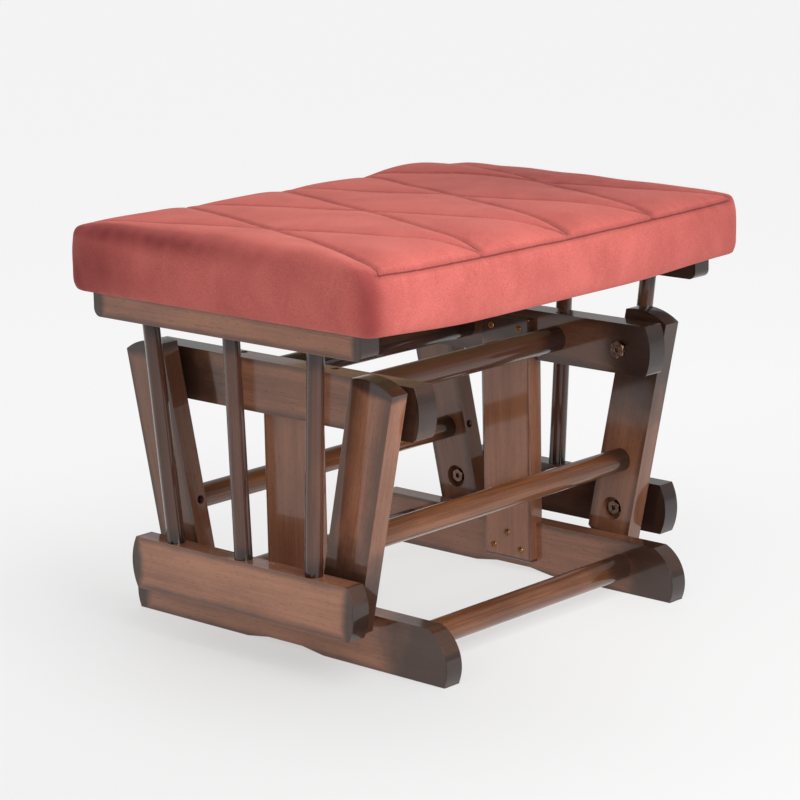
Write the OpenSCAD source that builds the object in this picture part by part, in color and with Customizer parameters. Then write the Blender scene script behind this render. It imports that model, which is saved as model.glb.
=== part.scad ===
// Glider ottoman: a standing base, two pairs of swinging links and a hanging carriage with a cushion.
// Millimetres. X runs across along the round stretchers, Y is the glide direction with the front at -Y,
// Z is up. The origin lies on the floor, in the middle of the base.

/* [Base rails] */
// Overall length of each floor rail
base_rail_l = 405; // [390:1:430]
// Height of each floor rail
base_rail_h = 52; // [46:1:55]
// Thickness of each floor rail
base_rail_t = 20; // [18:1:24]
// Width over the outsides of the two floor rails
base_spread = 352; // [342:1:362]
// Radius of the rounded rail ends
base_end_r = 38; // [36:1:44]
// Height at which the rail ends bulge the most
base_bulge_z = 17; // [15:1:20]
// How far the lower corners stand back from the bulge
base_heel = 3.5; // [1:0.5:4]
// Height of the relief under the middle of the rail
foot_relief_h = 4; // [3:0.5:8]
// Length of the flat part of the relief
foot_relief_l = 44; // [30:1:140]
// Length of each slope between the relief and a foot
foot_slope_l = 28; // [20:1:45]

/* [Posts] */
// Width of each post
post_w = 61.5; // [54:0.5:68]
// Thickness of each post
post_t = 20; // [18:1:23]
// Height of the lower end of the post above the floor
post_bottom = 12; // [10:1:16]
// How far the post stands inwards of the floor rail
post_proud = 9.8; // [8:0.1:12]
// How far the post ends below the top of the hanger rail
post_head_gap = 8; // [6:0.5:11]

/* [Hanger rails] */
// Overall length of each hanger rail
hanger_l = 352; // [340:1:364]
// Height of each hanger rail
hanger_h = 50; // [46:1:54]
// Thickness of each hanger rail
hanger_t = 24; // [22:1:26]
// Height of the top edge above the floor
hanger_top = 271.5; // [265:0.5:278]
// How far the post stands inwards of the hanger rail
hanger_setback = 7.8; // [6:0.1:9]
// Radius of the convex ends
hanger_end_r = 60; // [45:1:80]

/* [Stretchers] */
// Diameter of the round stretchers of the base
stretcher_d = 25; // [22:0.5:28]
// Diameter of the round stretchers between the links
link_stretcher_d = 23.5; // [20:0.5:26]
// Depth to which a stretcher is let into a board
stretcher_socket = 14; // [10:1:15]
// Distance of the floor stretchers from the ends of the floor rails
base_stretcher_inset = 64.5; // [52:0.5:76]
// Height of the floor stretchers
base_stretcher_z = 26; // [24:0.5:29]
// Distance of the upper stretchers from the middle
hanger_stretcher_y = 59; // [52:1:75]
// Distance of a link stretcher below the upper pivot, along the link
link_stretcher_drop = 124; // [110:1:132]

/* [Links] */
// Width of each link
link_w = 50; // [46:1:54]
// Thickness of each link
link_t = 20; // [19:0.5:22]
// Distance of the upper pivots from the middle
pivot_top_y = 140.5; // [136:0.5:145]
// Distance of the lower pivots from the middle
pivot_bottom_y = 103.5; // [98:0.5:108]
// Height of the lower pivots
pivot_bottom_z = 73.5; // [71:0.5:76]
// Length of the link above the upper pivot
link_head = 33; // [30:0.5:35]
// Length of the link below the lower pivot
link_tail = 36; // [32:0.5:39]
// Radius of the crowned upper end
link_head_r = 62; // [50:1:80]
// Radius of the crowned lower end
link_tail_r = 42; // [38:1:60]
// Gap between a hanger rail and the link beside it
inner_gap = 8.5; // [6:0.5:11]
// Gap between a link and the carrier rail beside it
outer_gap = 10.5; // [8:0.5:13]

/* [Pivots] */
// Diameter of the pivot bolts
bolt_d = 8; // [7:0.5:9]
// Width across the flats of the hexagonal heads of the upper bolts
upper_head_af = 15; // [13:0.5:17]
// Height of the heads of the upper bolts
upper_head_h = 6.5; // [4.5:0.5:8]
// Width across the flats of the hexagonal heads of the lower bolts
lower_head_af = 12.5; // [11.5:0.5:14]
// Height of the heads of the lower bolts
lower_head_h = 6.5; // [5:0.5:8]
// Width across the flats of the sockets in the bolt heads
socket_af = 5; // [4:0.5:6]
// Depth of those sockets
socket_depth = 3.5; // [2.5:0.5:4]
// Diameter of the recess for a lower bolt head
recess_d = 23; // [20:0.5:26]
// Depth of that recess
recess_depth = 9; // [8.5:0.5:9.5]
// Outer diameter of the sealed ball bearings
bearing_d = 22; // [21:0.5:24]
// Width of the sealed ball bearings
bearing_w = 7; // [6:0.5:7.5]
// Wall of the outer ring of a bearing
ring_wall = 2; // [1.5:0.1:2.2]
// Thickness of the shields of a bearing
shield_t = 0.8; // [0.6:0.1:1.2]
// Outer diameter of the steel sleeves on the bolts
sleeve_d = 11; // [10.5:0.1:11.5]
// Number of balls in each bearing
ball_count = 7; // [6:1:8]
// Outer diameter of the threaded inserts in the carrier rails
insert_d = 12; // [11:0.5:13]
// Length of those inserts
insert_l = 14; // [12:0.5:15]

/* [Carrier rails] */
// Overall length of each carrier rail
carrier_l = 288; // [278:1:300]
// How far the carrier rail sits forward of the base
carrier_shift = 3; // [0:0.5:6]
// Height of each carrier rail
carrier_h = 50.5; // [47:0.5:55]
// Thickness of each carrier rail
carrier_t = 20; // [19:0.5:23]
// Height of the lower edge above the floor
carrier_bottom = 46; // [42:0.5:48]
// Radius of the convex ends
carrier_end_r = 52; // [45:1:70]

/* [Spindles] */
// Diameter of a spindle at its foot
spindle_foot_d = 17; // [15:0.5:19]
// Diameter of a spindle at its head
spindle_head_d = 16; // [14:0.5:18]
// Distance between neighbouring spindles at the carrier rail
spindle_foot_pitch = 89.5; // [80:0.5:100]
// Distance between neighbouring spindles at the seat rail
spindle_head_pitch = 105.5; // [95:0.5:115]
// How far the heads of the spindles lean outwards
spindle_splay = 11; // [8:0.5:13]
// Diameter of the tenons
tenon_d = 12; // [10:0.5:13]
// Depth of the tenons in the rails
tenon_l = 12; // [10:0.5:12.5]

/* [Seat rails] */
// Overall length of each seat rail
seat_rail_l = 342; // [330:1:352]
// Height of each seat rail
seat_rail_h = 26; // [24:0.5:30]
// Thickness of each seat rail
seat_rail_t = 22; // [20:0.5:25]
// Gap between the top of the hanger rails and the seat rails
seat_gap = 35.5; // [30:0.5:44]
// Radius of the lower corners at the ends
seat_corner_r = 8; // [5:0.5:12]
// How far the seat sits forward of the carriage
seat_shift = 4.5; // [0:0.5:8]

/* [Seat board] */
// Thickness of the plywood board
board_t = 12; // [9:0.5:12.5]
// Width of the rebate in each seat rail that carries the board
rebate_w = 10; // [8:0.5:11]
// Length of the board
board_l = 300; // [292:1:320]

/* [Cushion] */
// Width of the cushion
cushion_w = 538; // [524:1:552]
// Depth of the cushion
cushion_d = 386; // [376:1:394]
// Height of the sides up to the seam
cushion_side_h = 52; // [46:1:60]
// Height of the quilted top above the seam
cushion_crown = 18; // [12:1:24]
// Radius of the upright corners
cushion_corner_r = 19; // [16:1:34]
// How far the seam at the top is drawn in
cushion_seam_draw = 5; // [3:0.5:8]
// How far the lower edge is drawn in
cushion_foot_draw = 6; // [4:0.5:9]
// Depth of the sewn channels
channel_depth = 5; // [3:0.5:7]
// Width of a sewn channel
channel_w = 22; // [16:1:30]
// Width over which the top rounds down to the seam
cushion_roll = 75; // [60:1:90]
// How far the cushion sits forward of the base
cushion_shift = 10; // [7:0.5:12]
// Thickness of the cover and wadding around the foam
cover_t = 14; // [11:0.5:16]

/* [Screws] */
// Shank diameter of the wood screws
screw_d = 4; // [3.5:0.1:4.5]
// Head diameter of the wood screws
screw_head_d = 8; // [7:0.1:9]
// Height of the tapered heads
screw_head_h = 2.6; // [2:0.1:3]
// Length of the screws in the posts
post_screw_l = 26.5; // [20:0.5:27]
// Length of the screws that lock the stretchers
lock_screw_l = 20; // [16:0.5:21]
// Length of the screws that hold the seat board
board_screw_l = 22; // [18:0.5:23]
// How far the lock screws are sunk below the surface
screw_sink = 5; // [3:0.5:6]
// Diameter of the domed heads of the post screws
dome_head_d = 7; // [6:0.1:8]
// Height of the domed heads
dome_head_h = 2.3; // [1.8:0.1:3]
// Half the distance between the paired screws in a post
post_screw_y = 17.7; // [14:0.1:20]
// Height between the paired screws and the third one
post_screw_rise = 16; // [13:0.5:17]
// Distance of the paired screws from the end of the post
post_screw_edge = 11.5; // [10:0.5:13]
// Distance between neighbouring screws in the seat board
board_screw_pitch = 96; // [84:1:100]

/* [Fits] */
// Gap around a piece that is glued or pressed into another
glue_gap = 0.05; // [0.02:0.01:0.1]
// Gap between a ball and the rings around it
ball_gap = 0.05; // [0.03:0.01:0.08]
// Gap beside a turning face
face_gap = 0.3; // [0.2:0.05:0.5]
// Gap around the bolt of each open pivot
open_pivot_gap = 3; // [2.6:0.1:3.2]

/* [Hidden] */

// Smoothness of round shapes
round_fn = 96;
ball_fn = 32;
// Overrun of a cut past the face that it leaves
cut = 1;
// Across the corners of a hexagon, as a share of its width across the flats
hex_share = 1 / cos(30);
// Chamfer of the bolt heads
head_chamfer = 0.8;

// Faces of the boards across the part, on the right side
base_outer_x = base_spread / 2;
base_inner_x = base_outer_x - base_rail_t;
post_inner_x = base_inner_x - post_proud;
post_outer_x = post_inner_x + post_t;
hanger_inner_x = post_inner_x + hanger_setback;
hanger_outer_x = hanger_inner_x + hanger_t;
link_inner_x = hanger_outer_x + inner_gap;
link_outer_x = link_inner_x + link_t;
carrier_inner_x = link_outer_x + outer_gap;
carrier_mid_x = carrier_inner_x + carrier_t / 2;
seat_mid_x = carrier_mid_x + spindle_splay;
seat_inner_x = seat_mid_x - seat_rail_t / 2;

// Heights, and the places of the floor stretchers
base_stretcher_y = base_rail_l / 2 - base_stretcher_inset;
seat_rail_bottom = hanger_top + seat_gap;
hanger_mid_z = hanger_top - hanger_h / 2;
hanger_bottom = hanger_top - hanger_h;
post_top = hanger_top - post_head_gap;
carrier_top = carrier_bottom + carrier_h;
seat_top = seat_rail_bottom + seat_rail_h;
board_bottom = seat_top - board_t;

// The links, measured from the upper pivot
pivot_run = pivot_top_y - pivot_bottom_y;
pivot_fall = hanger_mid_z - pivot_bottom_z;
link_l = norm([pivot_run, pivot_fall]);
link_tilt = atan(pivot_run / pivot_fall);

// Bearings: the sleeve, the channel for the balls and the pockets in the links
channel_r = bearing_d / 2 - ring_wall;
ball_d = channel_r - sleeve_d / 2 - 2 * ball_gap;
ball_orbit_r = (channel_r + sleeve_d / 2) / 2;
shield_bore_r = sleeve_d / 2 + face_gap;
pocket_depth = bearing_w + face_gap;
sleeve_passage_r = sleeve_d / 2 + 2 * face_gap;
upper_sleeve_end_x = link_inner_x + bearing_w;
lower_head_seat_x = link_inner_x + recess_depth - face_gap;
lower_bolt_end_x = carrier_inner_x + insert_l - face_gap;
open_bore_r = bolt_d / 2 + open_pivot_gap;

// Seat board and its screws
board_half_w = seat_inner_x + rebate_w;
board_screw_x = seat_inner_x + rebate_w / 2;

// Stretcher lock screws
hanger_screw_x = hanger_inner_x + stretcher_socket / 2;
base_screw_x = base_inner_x + stretcher_socket / 2;
link_screw_x = link_inner_x + stretcher_socket / 2;

// Three spindles stand on each side
SPINDLE_ROW = [-1, 0, 1];

// A board that stands upright along Y: its outline is drawn in Y and Z, and it is given in X
module upright_board(inner_x, thickness) {
    translate([inner_x, 0, 0]) rotate([90, 0, 90]) linear_extrude(thickness) children();
}

// A round bar or hole along X
module bar_x(r, from_x, to_x) {
    translate([from_x, 0, 0]) rotate([0, 90, 0]) cylinder(r = r, h = to_x - from_x, $fn = round_fn);
}

// Its children on the right side as drawn, or mirrored to the left
module on_side(side) {
    if (side > 0) children(); else mirror([1, 0, 0]) children();
}

// Its children at the front as drawn, or mirrored to the rear
module at_end(end) {
    if (end < 0) children(); else mirror([0, 1, 0]) children();
}

// The frame of a front link, with its origin on the upper pivot and the link hanging straight down
module in_link_frame() {
    translate([0, -pivot_top_y, hanger_mid_z]) rotate([link_tilt, 0, 0]) children();
}

// A rail outline with two convex ends
module convex_rail_outline(length, height, end_r) {
    intersection() {
        square([length, height], center = true);
        union() {
            square([length - 2 * end_r, height], center = true);
            for (s = [-1, 1]) translate([s * (length / 2 - end_r), 0]) circle(r = end_r, $fn = round_fn);
        }
    }
}

// Countersunk wood screw with a cross recess: the head's flat lies at the origin and the shank points down
module wood_screw(length) {
    difference() {
        union() {
            translate([0, 0, -length]) cylinder(d = screw_d, h = length - screw_head_h, $fn = round_fn);
            translate([0, 0, -screw_head_h])
                cylinder(d1 = screw_d, d2 = screw_head_d, h = screw_head_h, $fn = round_fn);
        }
        for (turn = [0, 90]) rotate([0, 0, turn])
            cube([screw_head_d / 2, screw_head_d / 8, screw_head_h], center = true);
    }
}

// Domed wood screw: the underside of the head lies at the origin and the shank points down
module domed_screw(length) {
    dome_r = (dome_head_h + pow(dome_head_d / 2, 2) / dome_head_h) / 2;
    translate([0, 0, -length]) cylinder(d = screw_d, h = length, $fn = round_fn);
    difference() {
        intersection() {
            cylinder(d = dome_head_d, h = dome_head_h, $fn = round_fn);
            translate([0, 0, dome_head_h - dome_r - dome_head_h / 4]) sphere(r = dome_r + dome_head_h / 4, $fn = round_fn);
        }
        for (turn = [0, 90]) rotate([0, 0, turn]) translate([0, 0, dome_head_h])
            cube([dome_head_d * 2 / 3, dome_head_d / 8, dome_head_h], center = true);
    }
}

// The hole for its shank
module shank_hole(length) {
    translate([0, 0, -length - glue_gap]) cylinder(r = screw_d / 2 + glue_gap, h = length + glue_gap + cut,
        $fn = round_fn);
}

// The hole for a countersunk screw, open upwards by the depth that it is sunk
module screw_hole(length, sink) {
    translate([0, 0, -length - glue_gap]) cylinder(r = screw_d / 2 + glue_gap, h = length, $fn = round_fn);
    translate([0, 0, -screw_head_h]) cylinder(r1 = screw_d / 2 + glue_gap,
        r2 = screw_head_d / 2 + glue_gap, h = screw_head_h, $fn = round_fn);
    cylinder(r = screw_head_d / 2 + glue_gap, h = sink + cut, $fn = round_fn);
}

// Places of the three screws at each end of the right post
module at_post_screws() {
    for (end_z = [[post_bottom + post_screw_edge, 1], [post_top - post_screw_edge, -1]])
        for (p = [[-post_screw_y, 0], [post_screw_y, 0], [0, post_screw_rise]])
            translate([post_inner_x, p[0], end_z[0] + end_z[1] * p[1]]) rotate([0, -90, 0]) children();
}

// Places of the lock screws of the right hanger rail and floor rail
module at_hanger_locks() {
    for (s = [-1, 1]) translate([hanger_screw_x, s * hanger_stretcher_y, hanger_top - screw_sink]) children();
}
module at_base_locks() {
    for (s = [-1, 1]) translate([base_screw_x, s * base_stretcher_y, screw_sink]) rotate([180, 0, 0]) children();
}

// Place of the lock screw of the right front link, in the link frame
module at_link_lock() {
    translate([link_screw_x, link_w / 2 - screw_sink, -link_stretcher_drop]) rotate([-90, 0, 0]) children();
}

// Places of the seat board screws, on the right side
module at_board_screws() {
    for (k = [-1.5 : 1 : 1.5])
        translate([board_screw_x, -seat_shift + k * board_screw_pitch, seat_top]) children();
}

// The foot and the head of a spindle on the right side
function spindle_foot(row) = [carrier_mid_x, row * spindle_foot_pitch, carrier_top];
function spindle_head(row) = [seat_mid_x, row * spindle_head_pitch - seat_shift, seat_rail_bottom];

// Its children at the foot of a spindle, with Z along the spindle
module along_spindle(row) {
    run = spindle_head(row) - spindle_foot(row);
    heading = atan2(run[1], run[0]);
    translate(spindle_foot(row)) rotate([0, acos(run[2] / norm(run)), heading]) rotate([0, 0, -heading])
        children();
}
function spindle_l(row) = norm(spindle_head(row) - spindle_foot(row));

// Tenons of one spindle as one long round bar
module spindle_core(row, clearance) {
    along_spindle(row) translate([0, 0, -tenon_l - clearance])
        cylinder(r = tenon_d / 2 + clearance, h = spindle_l(row) + 2 * tenon_l + 2 * clearance, $fn = round_fn);
}

module base_rail_outline() {
    difference() {
        union() {
            intersection() {
                translate([-base_rail_l / 2, 0]) square([base_rail_l, base_rail_h]);
                union() {
                    translate([base_end_r - base_rail_l / 2, 0])
                        square([base_rail_l - 2 * base_end_r, base_rail_h]);
                    for (s = [-1, 1]) translate([s * (base_rail_l / 2 - base_end_r), base_bulge_z])
                        circle(r = base_end_r, $fn = round_fn);
                }
            }
            translate([base_heel - base_rail_l / 2, 0])
                square([base_rail_l - 2 * base_heel, base_bulge_z]);
        }
        polygon([[-foot_relief_l / 2 - foot_slope_l, 0], [-foot_relief_l / 2, foot_relief_h],
            [foot_relief_l / 2, foot_relief_h], [foot_relief_l / 2 + foot_slope_l, 0],
            [foot_relief_l / 2 + foot_slope_l, -cut], [-foot_relief_l / 2 - foot_slope_l, -cut]]);
    }
}

// Floor rail, with the housing of the post and the sockets of the stretchers
module base_rail(side) {
    color("#7a5343") on_side(side) difference() {
        upright_board(base_inner_x, base_rail_t) base_rail_outline();
        translate([post_inner_x, -post_w / 2 - glue_gap, post_bottom - glue_gap])
            cube([post_t + glue_gap, post_w + 2 * glue_gap, base_rail_h]);
        for (s = [-1, 1]) translate([0, s * base_stretcher_y, base_stretcher_z])
            bar_x(stretcher_d / 2 + glue_gap, base_inner_x - cut, base_inner_x + stretcher_socket + glue_gap);
        at_base_locks() screw_hole(lock_screw_l, screw_sink);
        at_post_screws() shank_hole(post_screw_l);
    }
}

// Flat upright post, housed in the floor rail and the hanger rail
module post(side) {
    color("#835a48") on_side(side) difference() {
        translate([post_inner_x, -post_w / 2, post_bottom]) cube([post_t, post_w, post_top - post_bottom]);
        at_post_screws() shank_hole(post_screw_l);
    }
}

// Hanger rail that carries the upper pivots
module hanger_rail(side) {
    color("#7e5645") on_side(side) difference() {
        translate([0, 0, hanger_mid_z]) upright_board(hanger_inner_x, hanger_t)
            convex_rail_outline(hanger_l, hanger_h, hanger_end_r);
        translate([post_inner_x, -post_w / 2 - glue_gap, hanger_bottom - cut])
            cube([post_t + glue_gap, post_w + 2 * glue_gap, post_top + glue_gap - hanger_bottom + cut]);
        for (s = [-1, 1]) {
            translate([0, s * hanger_stretcher_y, hanger_mid_z])
                bar_x(stretcher_d / 2 + glue_gap, hanger_inner_x - cut,
                    hanger_inner_x + stretcher_socket + glue_gap);
            translate([0, s * pivot_top_y, hanger_mid_z])
                bar_x(bolt_d / 2 + glue_gap, hanger_inner_x - cut, hanger_outer_x + cut);
        }
        at_hanger_locks() screw_hole(lock_screw_l, screw_sink);
        at_post_screws() shank_hole(post_screw_l);
    }
}

// Round stretcher between the floor rails
module base_stretcher(end) {
    color("#8a5c44") at_end(end) difference() {
        translate([0, -base_stretcher_y, base_stretcher_z])
            bar_x(stretcher_d / 2, -base_inner_x - stretcher_socket, base_inner_x + stretcher_socket);
        for (side = [-1, 1]) on_side(side) at_base_locks() screw_hole(lock_screw_l, screw_sink);
    }
}

// Round stretcher between the hanger rails
module hanger_stretcher(end) {
    color("#8a5c44") at_end(end) difference() {
        translate([0, -hanger_stretcher_y, hanger_mid_z])
            bar_x(stretcher_d / 2, -hanger_inner_x - stretcher_socket, hanger_inner_x + stretcher_socket);
        for (side = [-1, 1]) on_side(side) at_hanger_locks() screw_hole(lock_screw_l, screw_sink);
    }
}

module post_screws() {
    color("#8a6038") for (side = [-1, 1]) on_side(side) at_post_screws() domed_screw(post_screw_l);
}

module stretcher_lock_screws() {
    color("#3a2f2b") for (side = [-1, 1]) on_side(side) {
        at_hanger_locks() wood_screw(lock_screw_l);
        at_base_locks() wood_screw(lock_screw_l);
    }
}

// Chamfered hexagonal bolt head with a hexagonal socket: its seat lies at the origin, and it stands
// out along -X
module hex_head(across, height) {
    corner_r = across * hex_share / 2;
    rotate([0, -90, 0]) difference() {
        intersection() {
            cylinder(r = corner_r, h = height, $fn = 6);
            cylinder(r1 = corner_r + height, r2 = across / 2 - head_chamfer, h = height + head_chamfer,
                $fn = round_fn);
        }
        translate([0, 0, height - socket_depth])
            cylinder(d = socket_af * hex_share, h = socket_depth + cut, $fn = 6);
    }
}

// Bolts through the hanger rails, with their heads on the inner faces
module upper_pivot_bolts() {
    color("#4a3a33") for (side = [-1, 1], end = [-1, 1]) on_side(side) at_end(end)
        translate([0, -pivot_top_y, hanger_mid_z]) {
            translate([hanger_inner_x, 0, 0]) hex_head(upper_head_af, upper_head_h);
            bar_x(bolt_d / 2, hanger_inner_x, upper_sleeve_end_x - face_gap);
        }
}

// Threaded sleeves between the hanger rails and the bearings in the links
module upper_pivot_sleeves() {
    color("#9a9a9c") for (side = [-1, 1], end = [-1, 1]) on_side(side) at_end(end)
        translate([0, -pivot_top_y, hanger_mid_z]) difference() {
            bar_x(sleeve_d / 2, hanger_outer_x, upper_sleeve_end_x);
            bar_x(bolt_d / 2 + glue_gap, hanger_outer_x - cut, upper_sleeve_end_x + cut);
        }
}

// Outline of a link in its own frame, drawn in Y and Z
module link_outline() {
    intersection() {
        translate([-link_w / 2, -link_l - link_tail]) square([link_w, link_l + link_tail + link_head]);
        union() {
            translate([-link_w / 2, -link_l]) square([link_w, link_l]);
            translate([0, link_head - link_head_r]) circle(r = link_head_r, $fn = round_fn);
            translate([0, link_tail_r - link_l - link_tail]) circle(r = link_tail_r, $fn = round_fn);
        }
    }
}

// Swinging link: an upper bearing pocket on its inner face, a lower one on its outer face
module link(side, end) {
    color("#8b6351") on_side(side) at_end(end) in_link_frame() difference() {
        upright_board(link_inner_x, link_t) link_outline();
        bar_x(bearing_d / 2 + glue_gap, link_inner_x - cut, link_inner_x + pocket_depth);
        translate([0, 0, -link_l]) {
            bar_x(recess_d / 2, link_inner_x - cut, link_inner_x + recess_depth);
            bar_x(sleeve_passage_r, link_inner_x, link_outer_x);
            bar_x(bearing_d / 2 + glue_gap, link_outer_x - pocket_depth, link_outer_x + cut);
        }
        translate([0, 0, -link_stretcher_drop])
            bar_x(link_stretcher_d / 2 + glue_gap, link_inner_x - cut,
                link_inner_x + stretcher_socket + glue_gap);
        at_link_lock() screw_hole(lock_screw_l, screw_sink);
    }
}

// Round stretcher between two links
module link_stretcher(end) {
    color("#8a5c44") at_end(end) difference() {
        in_link_frame() translate([0, 0, -link_stretcher_drop])
            bar_x(link_stretcher_d / 2, -link_inner_x - stretcher_socket, link_inner_x + stretcher_socket);
        for (side = [-1, 1]) on_side(side) in_link_frame() at_link_lock() screw_hole(lock_screw_l, screw_sink);
    }
}

module link_screws(end) {
    color("#3a2f2b") for (side = [-1, 1]) on_side(side) at_end(end) in_link_frame()
        at_link_lock() wood_screw(lock_screw_l);
}

// Places of the two bearings of a right front link, in the link frame: their inner faces
module at_bearings() {
    translate([link_inner_x, 0, 0]) children();
    translate([link_outer_x - bearing_w, 0, -link_l]) children();
}

// Outer ring of a bearing, with a shield at each face
module bearing_ring() {
    rotate([0, 90, 0]) rotate_extrude($fn = round_fn) {
        translate([channel_r, 0]) square([ring_wall, bearing_w]);
        for (y = [0, bearing_w - shield_t])
            translate([shield_bore_r, y]) square([bearing_d / 2 - shield_bore_r, shield_t]);
    }
}

module bearing_rings(end) {
    color("#b4b4b8") for (side = [-1, 1]) on_side(side) at_end(end) in_link_frame()
        at_bearings() bearing_ring();
}

module bearing_balls(end) {
    color("#d0d0d4") for (side = [-1, 1]) on_side(side) at_end(end) in_link_frame() at_bearings()
        for (k = [0 : ball_count - 1]) rotate([k * 360 / ball_count, 0, 0])
            translate([bearing_w / 2, ball_orbit_r, 0]) sphere(d = ball_d, $fn = ball_fn);
}

// Bolts through the lower ends of the links into the carrier rails
module lower_pivot_bolts(end) {
    color("#4a3a33") for (side = [-1, 1]) on_side(side) at_end(end)
        translate([0, -pivot_bottom_y, pivot_bottom_z]) {
            translate([lower_head_seat_x, 0, 0]) hex_head(lower_head_af, lower_head_h);
            bar_x(bolt_d / 2, lower_head_seat_x, lower_bolt_end_x);
        }
}

// Sleeves between the heads of the lower bolts and the carrier rails, short of them by end_gap
module lower_pivot_sleeves(end, end_gap) {
    color("#9a9a9c") for (side = [-1, 1]) on_side(side) at_end(end)
        translate([0, -pivot_bottom_y, pivot_bottom_z]) difference() {
            bar_x(sleeve_d / 2, lower_head_seat_x, carrier_inner_x - end_gap);
            bar_x(bolt_d / 2 + glue_gap, lower_head_seat_x - cut, carrier_inner_x + cut);
        }
}

// Threaded inserts for the front lower bolts
module pivot_inserts() {
    color("#b08a4a") for (side = [-1, 1]) on_side(side)
        translate([0, -pivot_bottom_y, pivot_bottom_z]) difference() {
            bar_x(insert_d / 2, carrier_inner_x, carrier_inner_x + insert_l);
            bar_x(bolt_d / 2 + glue_gap, carrier_inner_x - cut, carrier_inner_x + insert_l + cut);
        }
}

// Carrier rail at the foot of the hanging frame
module carrier_rail(side) {
    color("#7c5444") on_side(side) difference() {
        translate([0, -carrier_shift, carrier_bottom + carrier_h / 2]) upright_board(carrier_inner_x, carrier_t)
            convex_rail_outline(carrier_l, carrier_h, carrier_end_r);
        translate([0, -pivot_bottom_y, pivot_bottom_z])
            bar_x(insert_d / 2 + glue_gap, carrier_inner_x - cut, carrier_inner_x + insert_l + glue_gap);
        translate([0, pivot_bottom_y, pivot_bottom_z])
            bar_x(open_bore_r, carrier_inner_x - cut, carrier_inner_x + insert_l + face_gap);
        for (row = SPINDLE_ROW) spindle_core(row, glue_gap);
    }
}

// Round spindle, tapered a little, with a tenon at each end
module spindle(side, row) {
    color("#805746") on_side(side) union() {
        spindle_core(row, 0);
        intersection() {
            along_spindle(row) translate([0, 0, -tenon_l])
                cylinder(d1 = spindle_foot_d, d2 = spindle_head_d, h = spindle_l(row) + 2 * tenon_l,
                    $fn = round_fn);
            translate([0, -seat_rail_l / 2, carrier_top])
                cube([cushion_w, seat_rail_l, seat_rail_bottom - carrier_top]);
        }
    }
}

// Seat rail, with a rebate along its inner upper edge
module seat_rail(side) {
    color("#6f4c3f") on_side(side) difference() {
        translate([0, -seat_shift, 0]) upright_board(seat_inner_x, seat_rail_t)
            translate([0, seat_rail_bottom]) union() {
                translate([-seat_rail_l / 2, seat_corner_r]) square([seat_rail_l, seat_rail_h - seat_corner_r]);
                translate([seat_corner_r - seat_rail_l / 2, 0])
                    square([seat_rail_l - 2 * seat_corner_r, seat_rail_h]);
                for (s = [-1, 1]) translate([s * (seat_rail_l / 2 - seat_corner_r), seat_corner_r])
                    circle(r = seat_corner_r, $fn = round_fn);
            }
        translate([seat_inner_x - cut, -board_l / 2 - seat_shift - glue_gap, board_bottom - glue_gap])
            cube([rebate_w + cut + glue_gap, board_l + 2 * glue_gap, board_t + cut]);
        for (row = SPINDLE_ROW) spindle_core(row, glue_gap);
        at_board_screws() screw_hole(board_screw_l, 0);
    }
}

// Plywood board that closes the seat and carries the cushion
module seat_board() {
    color("#b9925f") difference() {
        translate([-board_half_w, -board_l / 2 - seat_shift, board_bottom])
            cube([2 * board_half_w, board_l, board_t]);
        for (side = [-1, 1]) on_side(side) at_board_screws() screw_hole(board_screw_l, 0);
    }
}

module seat_board_screws() {
    color("#3a2f2b") for (side = [-1, 1]) on_side(side) at_board_screws() wood_screw(board_screw_l);
}

// The cushion is a closed mesh on a grid, with whole diamonds between the upright corners. Each sewn
// line starts on the front seam and reaches the rear seam one diamond further to the left or right.
diamonds = 4;
steps_per_diamond = 8;
depth_steps = 16;
cushion_top_z = seat_top + cushion_side_h;
diamond_w = (cushion_w - 2 * cushion_corner_r) / diamonds;
seam_half_d = cushion_d / 2 - cushion_seam_draw;
// The rings of the sides, as shares of their height and of the two drawn-in depths
side_height_shares = [1, 0.86, 0.5, 0.14, 0];
side_seam_shares = [1, 0.2, 0, 0, 0];
side_foot_shares = [0, 0, 0, 0.25, 1];

// The columns and rows of the grid, as shares of the half width and the half depth. The outermost
// steps are halved, so that the upright corners are round.
width_steps = diamonds * steps_per_diamond;
quilt_share = 1 - 2 * cushion_corner_r / cushion_w;
column_shares = concat([-1, -(1 + quilt_share) / 2],
    [for (k = [0 : width_steps]) quilt_share * (2 * k / width_steps - 1)], [(1 + quilt_share) / 2, 1]);
row_shares = concat([-1, 1 / depth_steps - 1],
    [for (k = [1 : depth_steps - 1]) 2 * k / depth_steps - 1], [1 - 1 / depth_steps, 1]);
last_column = len(column_shares) - 1;
last_row = len(row_shares) - 1;

// A grid point in plan, on the rounded rectangle of the cushion drawn in by a depth
function plan_point(i, j, draw) =
    let (hx = cushion_w / 2 - draw, hy = cushion_d / 2 - draw, r = cushion_corner_r - draw,
        x = column_shares[i] * hx, y = row_shares[j] * hy, ax = abs(x) - hx + r, ay = abs(y) - hy + r,
        in_corner = ax > 0 && ay > 0, pull = in_corner ? max(ax, ay) / norm([ax, ay]) : 1)
    [in_corner ? sign(x) * (hx - r + ax * pull) : x, in_corner ? sign(y) * (hy - r + ay * pull) : y];

// Distance of a plan point from the nearest sewn line, and from the seam around the top
function to_whole(v) = abs(v - round(v));
function channel_distance(p) =
    let (across = p[0] / diamond_w, along = (p[1] / seam_half_d + 1) / 2,
        lean = cos(atan(diamond_w / (2 * seam_half_d))))
    min(to_whole(across - along), to_whole(across + along)) * diamond_w * lean;
function seam_distance(p) =
    let (ax = abs(p[0]) - cushion_w / 2 + cushion_corner_r, ay = abs(p[1]) - cushion_d / 2 + cushion_corner_r)
    cushion_corner_r - cushion_seam_draw - (ax > 0 && ay > 0 ? norm([ax, ay]) : max(ax, ay));

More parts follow.
